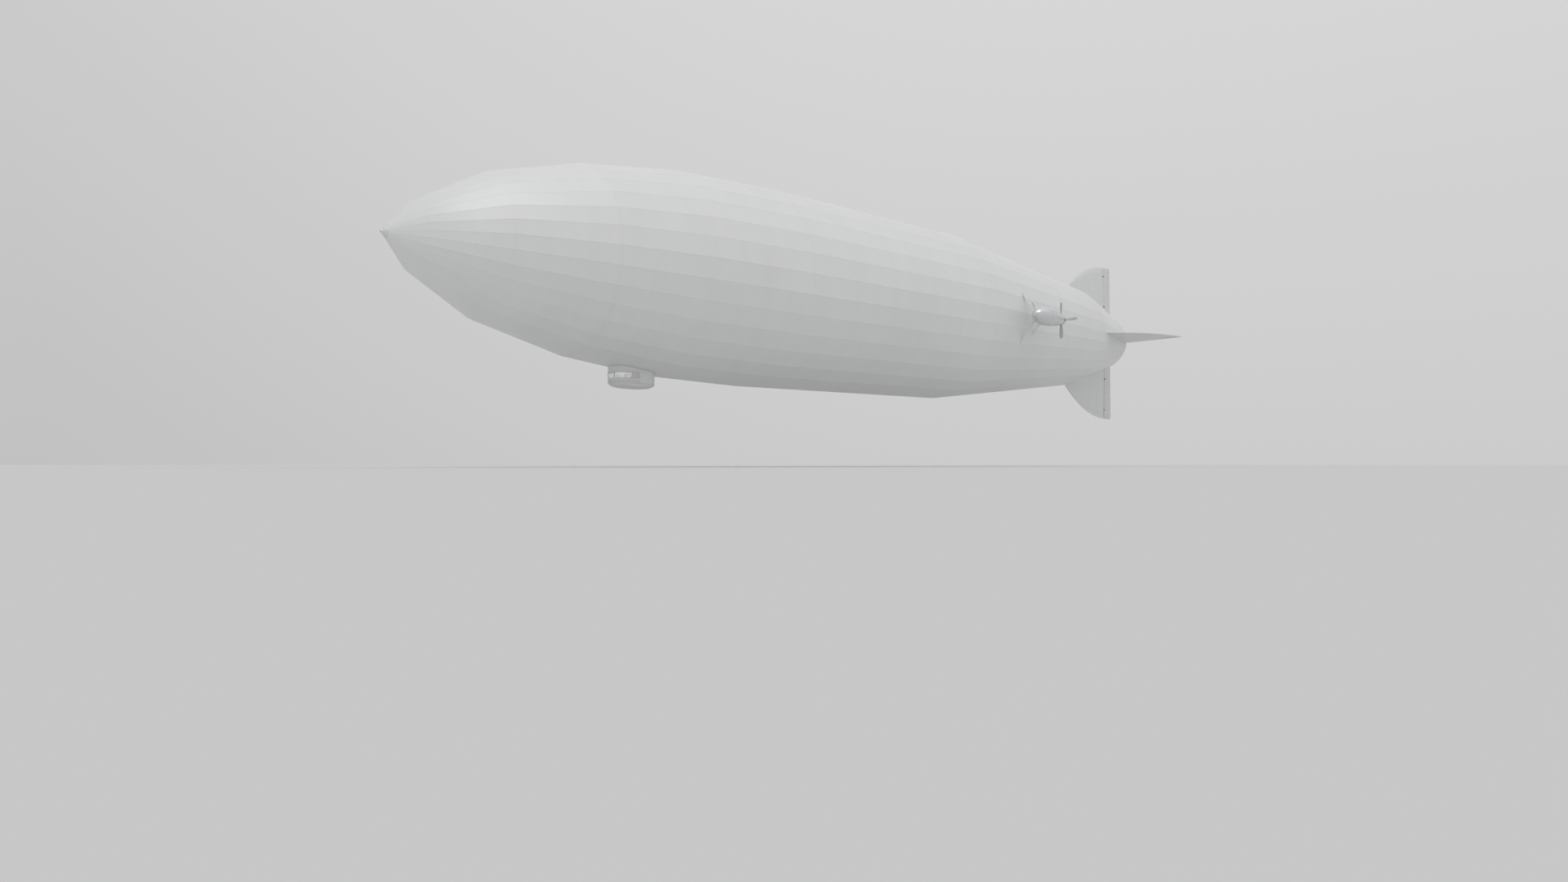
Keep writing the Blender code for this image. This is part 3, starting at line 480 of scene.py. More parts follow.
def cover_finish(name, colour, roughness):
    """Doped fabric: panels that differ a little, faint stains that run down, a fine weave and the pull of its lacing."""
    tree = Tree(name)
    place = tree.places()
    split = tree.add("ShaderNodeSeparateXYZ", Vector=place)
    along, across, up = split.outputs
    angle = tree.math("ARCTAN2", up, across)
    facet = tree.math("FLOOR", tree.math("MULTIPLY", angle, SIDES / math.tau))
    bay = tree.math("FLOOR", tree.math("DIVIDE", along, FRAME_STEP))
    panel = tree.add("ShaderNodeCombineXYZ", X=facet, Y=bay)
    patch = tree.add("ShaderNodeTexWhiteNoise", Vector=panel.outputs[0]).outputs["Value"]
    stain_place = tree.add("ShaderNodeCombineXYZ", X=tree.math("MULTIPLY", along, 5.0), Y=across, Z=up)
    stain = tree.noise(stain_place.outputs[0], 0.9, 5.0)
    cloud = tree.noise(place, 0.55, 2.0)
    tree.tint(colour, tree.span(patch, 0.992, 1.008), tree.span(stain, 0.97, 1.03), tree.span(cloud, 0.98, 1.02))
    weave = tree.math(
        "MULTIPLY",
        tree.math("SINE", tree.math("MULTIPLY", along, WEAVE)),
        tree.math("SINE", tree.math("MULTIPLY", angle, WEAVE)),
    )
    pull = tree.math("ABSOLUTE", tree.math("SINE", tree.math("MULTIPLY", along, math.pi * 3 / FRAME_STEP)))
    height = tree.math("ADD", tree.math("MULTIPLY", weave, 0.06), tree.math("MULTIPLY", pull, 0.25))
    tree.bump(height, 0.25, 0.002)
    return tree.surface(tree.span(stain, roughness - 0.05, roughness + 0.05), 0.10)



def metal_finish(name, colour, roughness, metallic=0.9, wear=0.04):
    """Sheet metal with faint rolling marks and smudges."""
    tree = Tree(name)
    place = tree.places()
    smudge = tree.noise(place, 7.0, 4.0)
    split = tree.add("ShaderNodeSeparateXYZ", Vector=place)
    grain_place = tree.add(
        "ShaderNodeCombineXYZ", X=tree.math("MULTIPLY", split.outputs[0], 0.05), Y=split.outputs[1], Z=split.outputs[2]
    )
    grain = tree.noise(grain_place.outputs[0], 260.0, 2.0)
    tree.tint(colour, tree.span(smudge, 1.0 - wear, 1.0 + wear))
    tree.bump(grain, 0.08, 0.0006)
    return tree.surface(tree.span(smudge, roughness - wear, roughness + wear), metallic)


def paint_finish(name, colour, roughness, metallic=0.0):
    """Paint with a slight orange peel and faded patches."""
    tree = Tree(name)
    place = tree.places()
    patch = tree.noise(place, 4.0, 4.0)
    peel = tree.noise(place, 420.0, 1.0)
    tree.tint(colour, tree.span(patch, 0.96, 1.04))
    tree.bump(peel, 0.05, 0.0005)
    return tree.surface(tree.span(patch, roughness - 0.06, roughness + 0.06), metallic)


def wood_finish(name, colour, roughness):
    """Planks that run along the ship, with grain."""
    tree = Tree(name)
    place = tree.places()
    split = tree.add("ShaderNodeSeparateXYZ", Vector=place)
    plank = tree.math("FLOOR", tree.math("MULTIPLY", split.outputs[1], 60.0))
    tone = tree.add("ShaderNodeTexWhiteNoise", {"noise_dimensions": "1D"}, W=plank).outputs["Value"]
    grain_place = tree.add(
        "ShaderNodeCombineXYZ", X=tree.math("MULTIPLY", split.outputs[0], 0.12), Y=split.outputs[1], Z=split.outputs[2]
    )
    grain = tree.noise(grain_place.outputs[0], 180.0, 4.0)
    tree.tint(colour, tree.span(tone, 0.85, 1.12), tree.span(grain, 0.8, 1.2))
    tree.bump(grain, 0.15, 0.0005)
    return tree.surface(roughness)


def glass_finish(name, colour, roughness, alpha):
    tree = Tree(name)
    haze = tree.noise(tree.places(), 14.0, 3.0)
    tree.tint(colour, tree.span(haze, 0.95, 1.05))
    tree.shader.inputs["Alpha"].default_value = alpha
    tree.shader.inputs["Specular IOR Level"].default_value = 0.6
    return tree.surface(tree.span(haze, roughness, roughness + 0.04))


def make_finishes():
    return {
        "cover": cover_finish("cover_finish", (0.795, 0.80, 0.80), 0.46),
        "tape": cover_finish("tape_finish", (0.782, 0.786, 0.786), 0.44),
        # The fins' cover is the hull's doped fabric painted darker: painted shade, not a fabric of its own tone.
        "fin_cover": cover_finish("fin_painted_shade_finish", (0.742, 0.748, 0.748), 0.48),
        # The rudders' cover is the fins' fabric painted a little darker again: painted shade of the hinge gap and the
        # rudder's turn.
        "rudder": cover_finish("rudder_painted_shade_finish", (0.71, 0.716, 0.716), 0.48),
        "cowl": metal_finish("cowl_finish", (0.72, 0.73, 0.74), 0.32, 0.70),
        "strut": paint_finish("strut_finish", (0.76, 0.765, 0.77), 0.42),
        "engine": paint_finish("engine_finish", (0.13, 0.13, 0.14), 0.55, 0.4),
        "propeller": paint_finish("propeller_finish", (0.52, 0.52, 0.53), 0.38, 0.1),
        "car": paint_finish("car_finish", (0.74, 0.745, 0.75), 0.42, 0.05),
        "deck": wood_finish("deck_finish", (0.46, 0.40, 0.33), 0.55),
        "glass": glass_finish("glass_finish", (0.78, 0.80, 0.82), 0.05, 0.12),
        "fitting": metal_finish("fitting_finish", (0.46, 0.465, 0.47), 0.34),
        "frame": paint_finish("frame_finish", (0.62, 0.625, 0.63), 0.45, 0.15),
        "edge": metal_finish("edge_finish", (0.62, 0.62, 0.62), 0.28),
        "spindle": metal_finish("spindle_finish", (0.76, 0.765, 0.77), 0.42, 0.3),
    }


def hull_radius(station):
    for (start, first), (end, last) in zip(HULL_RINGS, HULL_RINGS[1:]):
        if station <= end:
            return first + (last - first) * (station - start) / (end - start)
    return HULL_RINGS[-1][1]


def hull_tilt(station):
    """Angle of the cover to the ship's length as it is shaded, which changes evenly from one bay's middle to the next."""
    middles = []
    for (start, first), (end, last) in zip(HULL_RINGS, HULL_RINGS[1:]):
        middles.append(((start + end) / 2, math.atan2((last - first) * math.cos(math.pi / SIDES), end - start)))
    if station <= middles[0][0]:
        return middles[0][1]
    for (start, first), (end, last) in zip(middles, middles[1:]):
        if station <= end:
            return first + (last - first) * (station - start) / (end - start)
    return middles[-1][1]


def shade_evenly(data):
    """Gives the cover normals that are flat across a facet and change smoothly along the ship."""
    normals = [None] * len(data.loops)
    for face in data.polygons:
        girth = Vector((0, face.normal.y, face.normal.z))
        for corner in face.loop_indices:
            if girth.length < 0.5:
                normals[corner] = tuple(face.normal)
                continue
            station = NOSE_X - data.vertices[data.loops[corner].vertex_index].co.x
            tilt = hull_tilt(station)
            normal = girth.normalized() * math.cos(tilt) + Vector((math.sin(tilt), 0, 0))
            normals[corner] = tuple(normal.normalized())
    data.normals_split_custom_set(normals)


def hull_ring(station, radius):
    return wheel_ring((NOSE_X - station, 0, 0), radius, SIDES)


def make_hull():
    for name, first, last in HULL_SECTIONS:
        marks = [first, *[station for station, _ in HULL_RINGS if first < station < last], last]
        stations = [first]
        for start, end in zip(marks, marks[1:]):
            stations.extend(steps_between(start, end, COVER_STEP)[1:])
        outer = [hull_ring(station, hull_radius(station)) for station in stations]
        if name == "tail_cap":
            data = mesh_from(name + "_cover", *loft(outer, capped=False))
        else:
            inner = [hull_ring(station, max(0.02, hull_radius(station) - 2 * SKIN)) for station in (last, first)]
            data = mesh_from(name + "_cover", *loft(outer + inner, looped=True))
        made = add_mesh(name + "_cover", data, "cover", crease=0, replaces=(name,))
        shade_evenly(made.data)
    make_tapes()
    make_spindle()
    make_tail_plate()


def ridge_tape(number):
    """A tape along a ridge, with a thin edge on the facet at each side."""
    angle = math.tau * number / SIDES
    step = math.tau / SIDES
    rows = []
    marks = [TAPED_HULL[0], *[s for s, _ in HULL_RINGS if TAPED_HULL[0] < s < TAPED_HULL[1]], TAPED_HULL[1]]
    stations = [marks[0]]
    for start, end in zip(marks, marks[1:]):
        stations.extend(steps_between(start, end, COVER_STEP)[1:])
    for station in stations:
        radius = hull_radius(station)
        ridge = Vector((0, math.cos(angle), math.sin(angle)))
        row = []
        for way in (-1, 1):
            facet = Vector((0, math.cos(angle + way * step / 2), math.sin(angle + way * step / 2)))
            along = Vector((0, math.cos(angle + way * step), math.sin(angle + way * step))) - ridge
            along.normalize()
            edge = ridge * radius + along * TAPE_HALF - facet * 0.0003
            top = ridge * radius + along * (TAPE_HALF - TAPE_EDGE) + facet * RIDGE_TAPE_HEIGHT
            row.append((edge, top))
        crest = ridge * (radius + RIDGE_TAPE_HEIGHT)
        line = [row[0][0], row[0][1], crest, row[1][1], row[1][0]]
        rows.append([point + Vector((NOSE_X - station, 0, 0)) for point in line])
    return ribbon(rows)


def frame_tape(station, half, height):
    """A tape round the hull over a main frame."""
    rings = []
    section = ((-half, -0.0003), (-half + TAPE_EDGE, height), (0.0, height), (half - TAPE_EDGE, height), (half, -0.0003))
    for offset, lift in section:
        place = station + offset
        rings.append(hull_ring(place, hull_radius(place) + lift))
    return loft(rings, capped=False)


def make_tapes():
    ridges = add_piece("ridge_tapes", joined([ridge_tape(number) for number in range(SIDES)]), "tape", crease=0)
    shade_evenly(ridges.data)
    shapes = []
    first, last = TAPED_HULL
    count = round((last - first) / FRAME_STEP)
    for number in range(count + 1):
        shapes.append(frame_tape(first + (last - first) * number / count, TAPE_HALF, FRAME_TAPE_HEIGHT))
    for name, start, _ in HULL_SECTIONS[2:]:
        shapes.append(frame_tape(start, 2.2 * TAPE_HALF, 1.6 * FRAME_TAPE_HEIGHT))
    frames = add_piece("frame_tapes", joined(shapes), "tape", crease=0)
    shade_evenly(frames.data)


def make_spindle():
    """The mooring spindle: a flared cone with a socket in its end and a bolted flange."""
    profile = SPINDLE_SOCKET + SPINDLE_PROFILE + SPINDLE_FLARE
    shapes = [lathe((NOSE_X, 0, 0), profile, 48, way=-1)]
    for number in range(12):
        angle = math.tau * number / 12
        out = Vector((0, math.cos(angle), math.sin(angle)))
        shapes.append(bolt(Vector((NOSE_X - 0.041, 0, 0)) + out * 0.0512, out + Vector((1.0, 0, 0)), 0.0022, 0.003))
    add_piece("spindle_fitting", joined(shapes), "spindle", crease=30, replaces=("nose_spindle",))


def make_tail_plate():
    """The bolted plate that closes the tail."""
    back = Vector((NOSE_X - TAIL_PLATE, 0, 0))
    profile = ((-0.004, 0.0700), (0.0006, 0.0694), (0.0008, 0.0680), (0.0008, 0.0640), (0.0, 0.0625))
    profile += ((0.0, 0.0300), (-0.0030, 0.0260), (-0.0030, 0.0100))
    shapes = [lathe(back, profile, 48, way=-1)]
    for number in range(16):
        angle = math.tau * (number + 0.5) / 16
        out = Vector((0, math.cos(angle), math.sin(angle)))
        shapes.append(rivet(back + out * 0.052, (-1, 0, 0), 0.0022, 0.35))
    add_piece("tail_plate", joined(shapes), "fitting")


def fin_edge(station):
    reach = (FIN_TRAIL - station) / FIN_CHORD
    return FIN_ROOT_RADIUS + FIN_RISE * (1.0 - reach**FIN_POWER)


def fin_half(radius):
    share = (radius - FIN_ROOT_RADIUS / 2) / (FIN_ROOT_RADIUS / 2 + FIN_RISE)
    return FIN_HALF_ROOT + (FIN_HALF_TIP - FIN_HALF_ROOT) * min(max(share, 0.0), 1.0)


def fin_side(station, share):
    """A point on the starboard side of the top fin, at a share of its height above the hull's inside."""
    low = hull_radius(station) - 0.020
    high = fin_edge(station)
    radius = low + (high - low) * share
    along = (station - FIN_START) / (FIN_BACK - FIN_START)
    full = max(FIN_HALF_EDGE, fin_half(radius) * min(1.0, FIN_FULLNESS[0] + FIN_FULLNESS[1] * along))
    past = max(0.0, (share - FIN_ROUNDED_FROM) / (1.0 - FIN_ROUNDED_FROM))
    half = FIN_HALF_EDGE * math.sqrt(1.0 - past**6) + (full - FIN_HALF_EDGE) * (1.0 - past * past * (3 - 2 * past))
    return Vector((NOSE_X - station, half, radius))


def mirrored(point):
    return Vector((point.x, -point.y, point.z))


def strip(path, width, lift, surface):
    """A raised strip on a surface along a path of (place, share) pairs, on both sides of the fin."""
    shapes = []
    for flip in (False, True):
        rows = []
        for (first, second) in path:
            row = []
            for offset, rise in ((-1.0, -0.0004), (-0.6, lift), (0.6, lift), (1.0, -0.0004)):
                point = surface(first + width[0] * offset, second + width[1] * offset)
                point = Vector((point.x, point.y + rise, point.z))
                row.append(mirrored(point) if flip else point)
            rows.append(row)
        shapes.append(ribbon(rows))
    return joined(shapes)


def make_fin(name, surface, body, degrees):
    turn = Matrix.Rotation(math.radians(degrees), 4, "X")
    shares = [0.0, 0.2, 0.4, 0.6, 0.75, 0.86, 0.90, 0.94, 0.97, 0.985, 0.995, 1.0]
    stations = steps_between(FIN_START, FIN_BACK, 0.045)
    rings = []
    for station in stations:
        side = [fin_side(station, share) for share in shares]
        rings.append(side + [mirrored(point) for point in reversed(side[:-1])])
    skin = moved(loft(rings), turn)
    # The fins' finish is the hull's fabric painted darker as painted shade.
    add_piece(name + "_cover", skin, "fin_cover", crease=40, replaces=(name,))
    shapes = []
    for share in (0.36, 0.50, 0.64, 0.78):
        path = [(station, share) for station in stations[3:]]
        shapes.append(strip(path, (0.0, 0.006), 0.0007, fin_side))
    for station in (13.05, 13.31, 13.57, 13.83):
        path = [(station, share) for share in steps_between(0.06, 0.97, 0.05)]
        shapes.append(strip(path, (0.004, 0.0), 0.0010, fin_side))
    edge = [(station, 0.965) for station in stations]
    shapes.append(strip(edge, (0.0, 0.018), 0.0009, fin_side))
    shapes.append(strip([(FIN_BACK - 0.012, share) for share in steps_between(0.06, 0.97, 0.05)], (0.011, 0.0), 0.0012, fin_side))
    add_piece(name + "_tapes", moved(joined(shapes), turn), "tape", crease=25)
    make_hinges(name, turn)
    make_rudder(surface, body, turn)


def make_hinges(name, turn):
    """The lugs that hold a rudder: an arm with a round eye, its pin and two bolts."""
    hinge_x = NOSE_X - HINGE_STATION
    front_x = NOSE_X - FIN_BACK
    shapes = []
    for span in HINGE_SPANS:
        half = LUG_HEIGHT / 2
        shapes.append(rounded_box((hinge_x, -0.007, span - half), (front_x + 0.010, 0.007, span + half), 0.0012))
        eye = ((-half, 0.0078), (-half + 0.0012, LUG_RADIUS), (half - 0.0012, LUG_RADIUS), (half, 0.0078))
        shapes.append(lathe((hinge_x, 0, span), eye, 24, "Z"))
        shapes.append(lathe((hinge_x, 0, span), ((-0.030, 0.005), (0.030, 0.005)), 16, "Z"))
        for way in (-1, 1):
            shapes.append(bolt((front_x - 0.012, way * 0.007, span), (0, way, 0), 0.0028, 0.0026))
    add_piece(name + "_hinges", moved(joined(shapes), turn), "fitting", crease=30)


def rudder_low(station):
    return hull_radius(station) + RUDDER_CLEAR


def rudder_side(station, share):
    """A point on the side of the top rudder, between its hinge line and its trailing edge."""
    low = rudder_low(HINGE_STATION - FIN_HALF_ROOT)
    radius = rudder_height(station, share)
    front = low + (fin_edge(HINGE_STATION - FIN_HALF_ROOT) - low) * share
    along = (station - HINGE_STATION) / (FIN_TRAIL - HINGE_STATION)
    half = fin_half(front) + (RUDDER_HALF_TRAIL - fin_half(front)) * along
    return Vector((NOSE_X - station, half, radius))


def rudder_height(station, share):
    nose = HINGE_STATION - FIN_HALF_ROOT
    low = rudder_low(nose)
    high = fin_edge(nose)
    trail_low = rudder_low(FIN_TRAIL)
    trail_high = fin_edge(FIN_TRAIL)
    front = low + (high - low) * share
    back = trail_low + (trail_high - trail_low) * share
    return front + (back - front) * max(0.0, (station - HINGE_STATION) / (FIN_TRAIL - HINGE_STATION))


def rudder_ring(share, notched=False, thin=1.0, corner=0.0):
    """A section of the rudder, its nose round about the hinge line or cut back in a hinge's notch."""
    nose = HINGE_STATION - FIN_HALF_ROOT
    low = rudder_low(nose)
    half = fin_half(low + (fin_edge(nose) - low) * share)
    trail = FIN_TRAIL - corner
    ring = []
    for step in range(17):
        angle = math.pi * step / 16
        station = HINGE_STATION + NOTCH_DEPTH if notched else HINGE_STATION - half * math.sin(angle)
        ring.append((station, half * math.cos(angle)))
    columns = []
    for step in range(1, RUDDER_COLUMNS + 1):
        part = NOTCH_DEPTH / (trail - HINGE_STATION) + 0.01
        part += (1.0 - part) * step / RUDDER_COLUMNS
        columns.append((HINGE_STATION + (trail - HINGE_STATION) * part, half + (RUDDER_HALF_TRAIL - half) * part))
    ring.extend([(station, -y) for station, y in columns])
    ring.extend(reversed(columns))
    level = rudder_height(HINGE_STATION, share)
    heights = [level if number < 17 else rudder_height(station, share) for number, (station, _) in enumerate(ring)]
    return [Vector((NOSE_X - station, y * thin, z)) for (station, y), z in zip(ring, heights)]


def make_rudder(name, body, turn):
    nose = HINGE_STATION - FIN_HALF_ROOT
    low = rudder_low(nose)
    height = fin_edge(nose) - low
    marks = [(share, False, 1.0, 0.0) for share in steps_between(0.012, 0.95, 0.055)]
    for span in HINGE_SPANS:
        start = (span - NOTCH_HALF - low) / height
        end = (span + NOTCH_HALF - low) / height
        marks = [mark for mark in marks if not start - 0.01 < mark[0] < end + 0.01]
        step = 0.00001
        marks.extend([(start, False, 1.0, 0.0), (start + step, True, 1.0, 0.0)])
        marks.extend([(end - step, True, 1.0, 0.0), (end, False, 1.0, 0.0)])
    marks.sort(key=lambda mark: mark[0])
    marks.insert(0, (0.0, False, 0.8, 0.0))
    marks.extend([(0.97, False, 0.9, 0.006), (0.985, False, 0.72, 0.015), (0.995, False, 0.45, 0.025), (1.0, False, 0.25, 0.030)])
    rings = [rudder_ring(*mark) for mark in marks]
    # The rudder's finish is the fin fabric painted darker as painted shade.
    add_piece(name + "_cover", moved(loft(rings), turn), "rudder", body, crease=40, replaces=(name,))
    shapes = []
    stations = steps_between(HINGE_STATION + 0.004, FIN_TRAIL - 0.012, 0.03)
    for share in (0.10, 0.26, 0.42, 0.58, 0.74, 0.88):
        shapes.append(strip([(station, share) for station in stations], (0.0, 0.007), 0.0009, rudder_side))
    for station in (HINGE_STATION + 0.085, FIN_TRAIL - 0.014):
        path = [(station, share) for share in steps_between(0.02, 0.94, 0.05)]
        shapes.append(strip(path, (0.004, 0.0), 0.0012, rudder_side))
    add_piece(name + "_tapes", moved(joined(shapes), turn), "tape", body, crease=25)


def nacelle_axis_z(place):
    share = max(0.0, (place - NACELLE_SPLIT) / (NACELLE_LENGTH - NACELLE_SPLIT))
    return NACELLE_Z - NACELLE_DROOP * share**DROOP_POWER


def cowl_radius(place):
    return eased(NACELLE_PROFILE, min(max(place, 0.0), NACELLE_LENGTH))


def cowl_point(side, place, angle, lift=0.0):
    """A point on the cowl, or lifted off it."""
    radius = cowl_radius(place) + lift
    z = nacelle_axis_z(place) + radius * math.sin(angle)
    return Vector((NACELLE_FRONT_X - place, side * NACELLE_Y + radius * math.cos(angle), z))


def cowl_out(side, place, angle):
    """The way out of the cowl at a point."""
    near = cowl_point(side, place + 0.004, angle)
    far = cowl_point(side, place - 0.004, angle)
    along = far - near
    round_it = Vector((0, -math.sin(angle), math.cos(angle)))
    return round_it.cross(along).normalized()


def cowl_patch(side, places, angles, lift, margin=0.0):
    """A raised panel that follows the cowl, its edges sunk into it."""
    rows = []
    count = len(places) - 1
    for number, place in enumerate(places):
        row = []
        for step, angle in enumerate(angles):
            at_edge = number in (0, count) or step in (0, len(angles) - 1)
            row.append(cowl_point(side, place, angle, -0.0006 if at_edge else lift))
        rows.append(row)
    return ribbon(rows)


def cowl_strap(side, place, half, lift):
    """A band round the cowl."""
    rings = []
    for offset, rise in ((-half, -0.0006), (-half * 0.8, lift), (half * 0.8, lift), (half, -0.0006)):
        rings.append([cowl_point(side, place + offset, math.tau * step / 64, rise) for step in range(64)])
    return loft(rings, capped=False)


def inset_range(first, last, count, edge):
    """Evenly spaced values with one more close to each end."""
    return [first, first + edge, *[first + (last - first) * step / count for step in range(1, count)], last - edge, last]


def make_nacelle(word, side):
    sides = 64
    for name, first, last in (("cowl_front_", 0.0, NACELLE_SPLIT), ("cowl_rear_", NACELLE_SPLIT, NACELLE_LENGTH)):
        places = steps_between(first, last, 0.014)
        if first == 0.0:
            places = [0.0, 0.002, 0.005, 0.009, *places[1:]]
        outer = [[cowl_point(side, place, math.tau * step / sides) for step in range(sides)] for place in places]
        back = places[-1] if first == 0.0 else places[0]
        lip = [[cowl_point(side, back, math.tau * step / sides, -NACELLE_WALL) for step in range(sides)]]
        if first == 0.0:
            shape = loft(outer + lip, capped=True)
        else:
            end = NACELLE_LENGTH - 0.012
            dish = []
            for depth, radius in ((NACELLE_LENGTH, 0.074), (end, 0.070), (end, 0.026), (NACELLE_LENGTH - 0.004, 0.024)):
                centre = (NACELLE_FRONT_X - depth, side * NACELLE_Y, nacelle_axis_z(depth))
                dish.append([Vector(centre) + Vector((0, radius * math.cos(math.tau * s / sides), radius * math.sin(math.tau * s / sides))) for s in range(sides)])
            shape = loft(lip + outer + dish)
        add_piece(name + word + "_skin", shape, "cowl", crease=40, replaces=(name + word,))
    straps = [cowl_strap(side, place, half, 0.0013) for place, half in ((0.075, 0.004), (0.300, 0.006), (0.560, 0.004))]
    outboard = 0.0 if side > 0 else math.pi
    for number in range(2):
        middle = outboard + (0.35 if number == 0 else -0.75)
        angles = inset_range(middle - 0.22, middle + 0.22, 8, 0.01)
        straps.append(cowl_patch(side, inset_range(0.135, 0.245, 6, 0.002), angles, 0.0014))
    for way in (-1, 1):
        for number in range(7):
            place = 0.350 + 0.024 * number
            for row in (0.62, -0.62):
                straps.append(louvre(side, place, outboard + way * 0.0 + row + (0.0 if way > 0 else math.pi), 0.17))
    add_piece("cowl_panels_" + word, joined(straps), "cowl", crease=30)
    heads = []
    for place, offset in ((0.300, 0.0035), (0.300, -0.0035), (0.075, 0.0), (0.560, 0.0)):
        count = max(24, round(cowl_radius(place) * 420))
        for number in range(count):
            angle = math.tau * number / count
            heads.append(rivet(cowl_point(side, place + offset, angle, 0.0012), cowl_out(side, place + offset, angle), 0.0013, 0.6))
    for number in range(8):
        angle = math.tau * (number + 0.5) / 8
        heads.append(latch(side, 0.300, angle))
    add_piece("cowl_fasteners_" + word, joined(heads), "fitting", crease=30)
    make_boss(word, side)
    make_propeller(word, side)
    make_struts(word, side)


def louvre(side, place, angle, half_width):
    """A cooling slot's hood, open towards the stern."""
    rows = []
    for share in (-1.0, -0.85, -0.4, 0.0, 0.4, 0.85, 1.0):
        turn = angle + share * half_width
        rise = 0.0065 * (1.0 - abs(share) ** 4)
        row = []
        for offset, lift in ((-0.009, -0.0004), (-0.003, 0.55 * rise), (0.006, rise), (0.0062, rise - 0.0012), (0.0, -0.0004)):
            row.append(cowl_point(side, place + offset, turn, lift))
        rows.append(row)
    return ribbon(rows)


def latch(side, place, angle):
    """A toggle latch across the joint of the two cowls."""
    out = cowl_out(side, place, angle)
    shape = rounded_box((-0.0035, -0.009, -0.001), (0.0035, 0.009, 0.0028), 0.001)
    hook = rounded_box((-0.0022, -0.014, -0.001), (0.0022, 0.002, 0.0042), 0.0008)
    place_there = Matrix.Translation(cowl_point(side, place, angle, 0.0006))
    along = Vector((1, 0, 0))
    across = out.cross(along).normalized()
    along = across.cross(out).normalized()
    turn = Matrix((across, along, out)).transposed().to_4x4()
    return moved(joined([shape, hook]), place_there @ turn)


def make_boss(word, side):
    """The round cap on the tip of the nacelle, with a ring of bolts."""
    tip = Vector((NACELLE_FRONT_X, side * NACELLE_Y, NACELLE_Z))
    profile = ((0.004, 0.032), (0.0005, 0.0245), (-0.0006, 0.019), (-0.0006, 0.012), (0.001, 0.0105), (0.001, 0.004))
    shapes = [lathe(tip, profile, 32, way=-1)]
    for number in range(6):
        angle = math.tau * number / 6
        out = Vector((0, math.cos(angle), math.sin(angle)))
        shapes.append(bolt(tip + out * 0.0155 + Vector((0.0004, 0, 0)), (1, 0, 0), 0.0014, 0.0016))
    add_piece("nacelle_tip_" + word, joined(shapes), "spindle", crease=30)


def blade_ring(root, turn, reach, low=-1.0, high=1.0, lift=0.0, count=10):
    """A section of a blade, its flat face towards the stern, set at its pitch."""
    chord, half, pitch = eased(BLADE_SECTIONS, reach)
    angle = math.radians(pitch)
    outline = []
    for step in range(count + 1):
        along = low + (high - low) * (1 - math.cos(math.pi * step / count)) / 2
        outline.append((along, math.sqrt(max(0.0, 1 - along * along))))
    lower = [(along, -0.4 * thick) for along, thick in reversed(outline[1:-1])]
    ring = []
    for along, thick in outline + lower:
        across = along * (chord / 2 + lift)
        out = thick * half + (lift if thick >= 0 else -lift)
        x = across * math.sin(angle) + out * math.cos(angle)
        y = across * math.cos(angle) - out * math.sin(angle)
        ring.append(Matrix.Rotation(turn, 4, "X") @ Vector((x, y, reach)) + root)
    return ring


def make_propeller(word, side):
    name = "propeller_" + word
    front = Vector((HUB_FRONT_X, side * NACELLE_Y, nacelle_axis_z(NACELLE_LENGTH)))
    places = [0.0, 0.001, 0.004, *steps_between(0.010, 0.090, 0.006), 0.0925, 0.0935, 0.094]
    profile = [(place, eased(HUB_PROFILE, place)) for place in places]
    shapes = [lathe(front, profile, 48, way=-1)]
    shapes.append(lathe(front, ((-0.200, 0.0100), (0.006, 0.0100)), 24, way=-1))
    shapes.append(lathe(front, ((-0.004, 0.018), (-0.003, 0.022), (0.0, 0.022)), 32, way=-1))
    root = front - Vector((BLADE_PLANE, 0, 0))
    edges = []
    fittings = []
    for number in range(BLADE_COUNT):
        turn = math.tau * number / BLADE_COUNT
        reaches = steps_between(0.055, 0.262, 0.012) + [0.270, 0.277, 0.283, 0.287, 0.2900, 0.2915, 0.292]
        shapes.append(loft([blade_ring(root, turn, reach) for reach in reaches]))
        sheath = steps_between(0.150, 0.262, 0.010) + [0.270, 0.277, 0.283, 0.287]
        edges.append(loft([blade_ring(root, turn, reach, 0.80, 1.0, 0.0004, 6) for reach in sheath]))
        out = Matrix.Rotation(turn, 3, "X") @ Vector((0, 0, 1))
        sleeve = ((0.055, 0.021), (0.072, 0.0205), (0.074, 0.0225), (0.080, 0.0225), (0.082, 0.0185), (0.090, 0.0165))
        turned = Matrix.Translation(root) @ Matrix.Rotation(turn, 4, "X")
        fittings.append(moved(lathe((0, 0, 0), sleeve, 28, "Z"), turned))
        for step in range(2):
            angle = turn + math.tau * (0.5 + (step - 0.5) * 0.25) / BLADE_COUNT
            face = Vector((0, -math.sin(angle), math.cos(angle)))
            fittings.append(bolt(front + face * 0.060 + Vector((-0.0005, 0, 0)), (1, 0, 0), 0.0028, 0.003))
            fittings.append(rivet(front + face * 0.0745 - Vector((0.020, 0, 0)), face, 0.0018, 0.5))
    body = name
    add_piece(name + "_blades", joined(shapes), "propeller", body, crease=40, replaces=(name,))
    add_piece(name + "_edges", joined(edges), "edge", body, crease=40)
    add_piece(name + "_fittings", joined(fittings), "fitting", body, crease=30)


def strut_ring(point, ahead, across, half_thickness, chord, scale):
    """A teardrop section: round ahead and thin behind."""
    ring = []
    for step in range(24):
        angle = math.tau * step / 24
        fore = math.cos(angle)
        thick = math.sin(angle) * (0.78 + 0.22 * fore)
        ring.append(point + ahead * (chord / 2 * scale * fore) + across * (half_thickness * scale * thick / 0.9))
    return ring


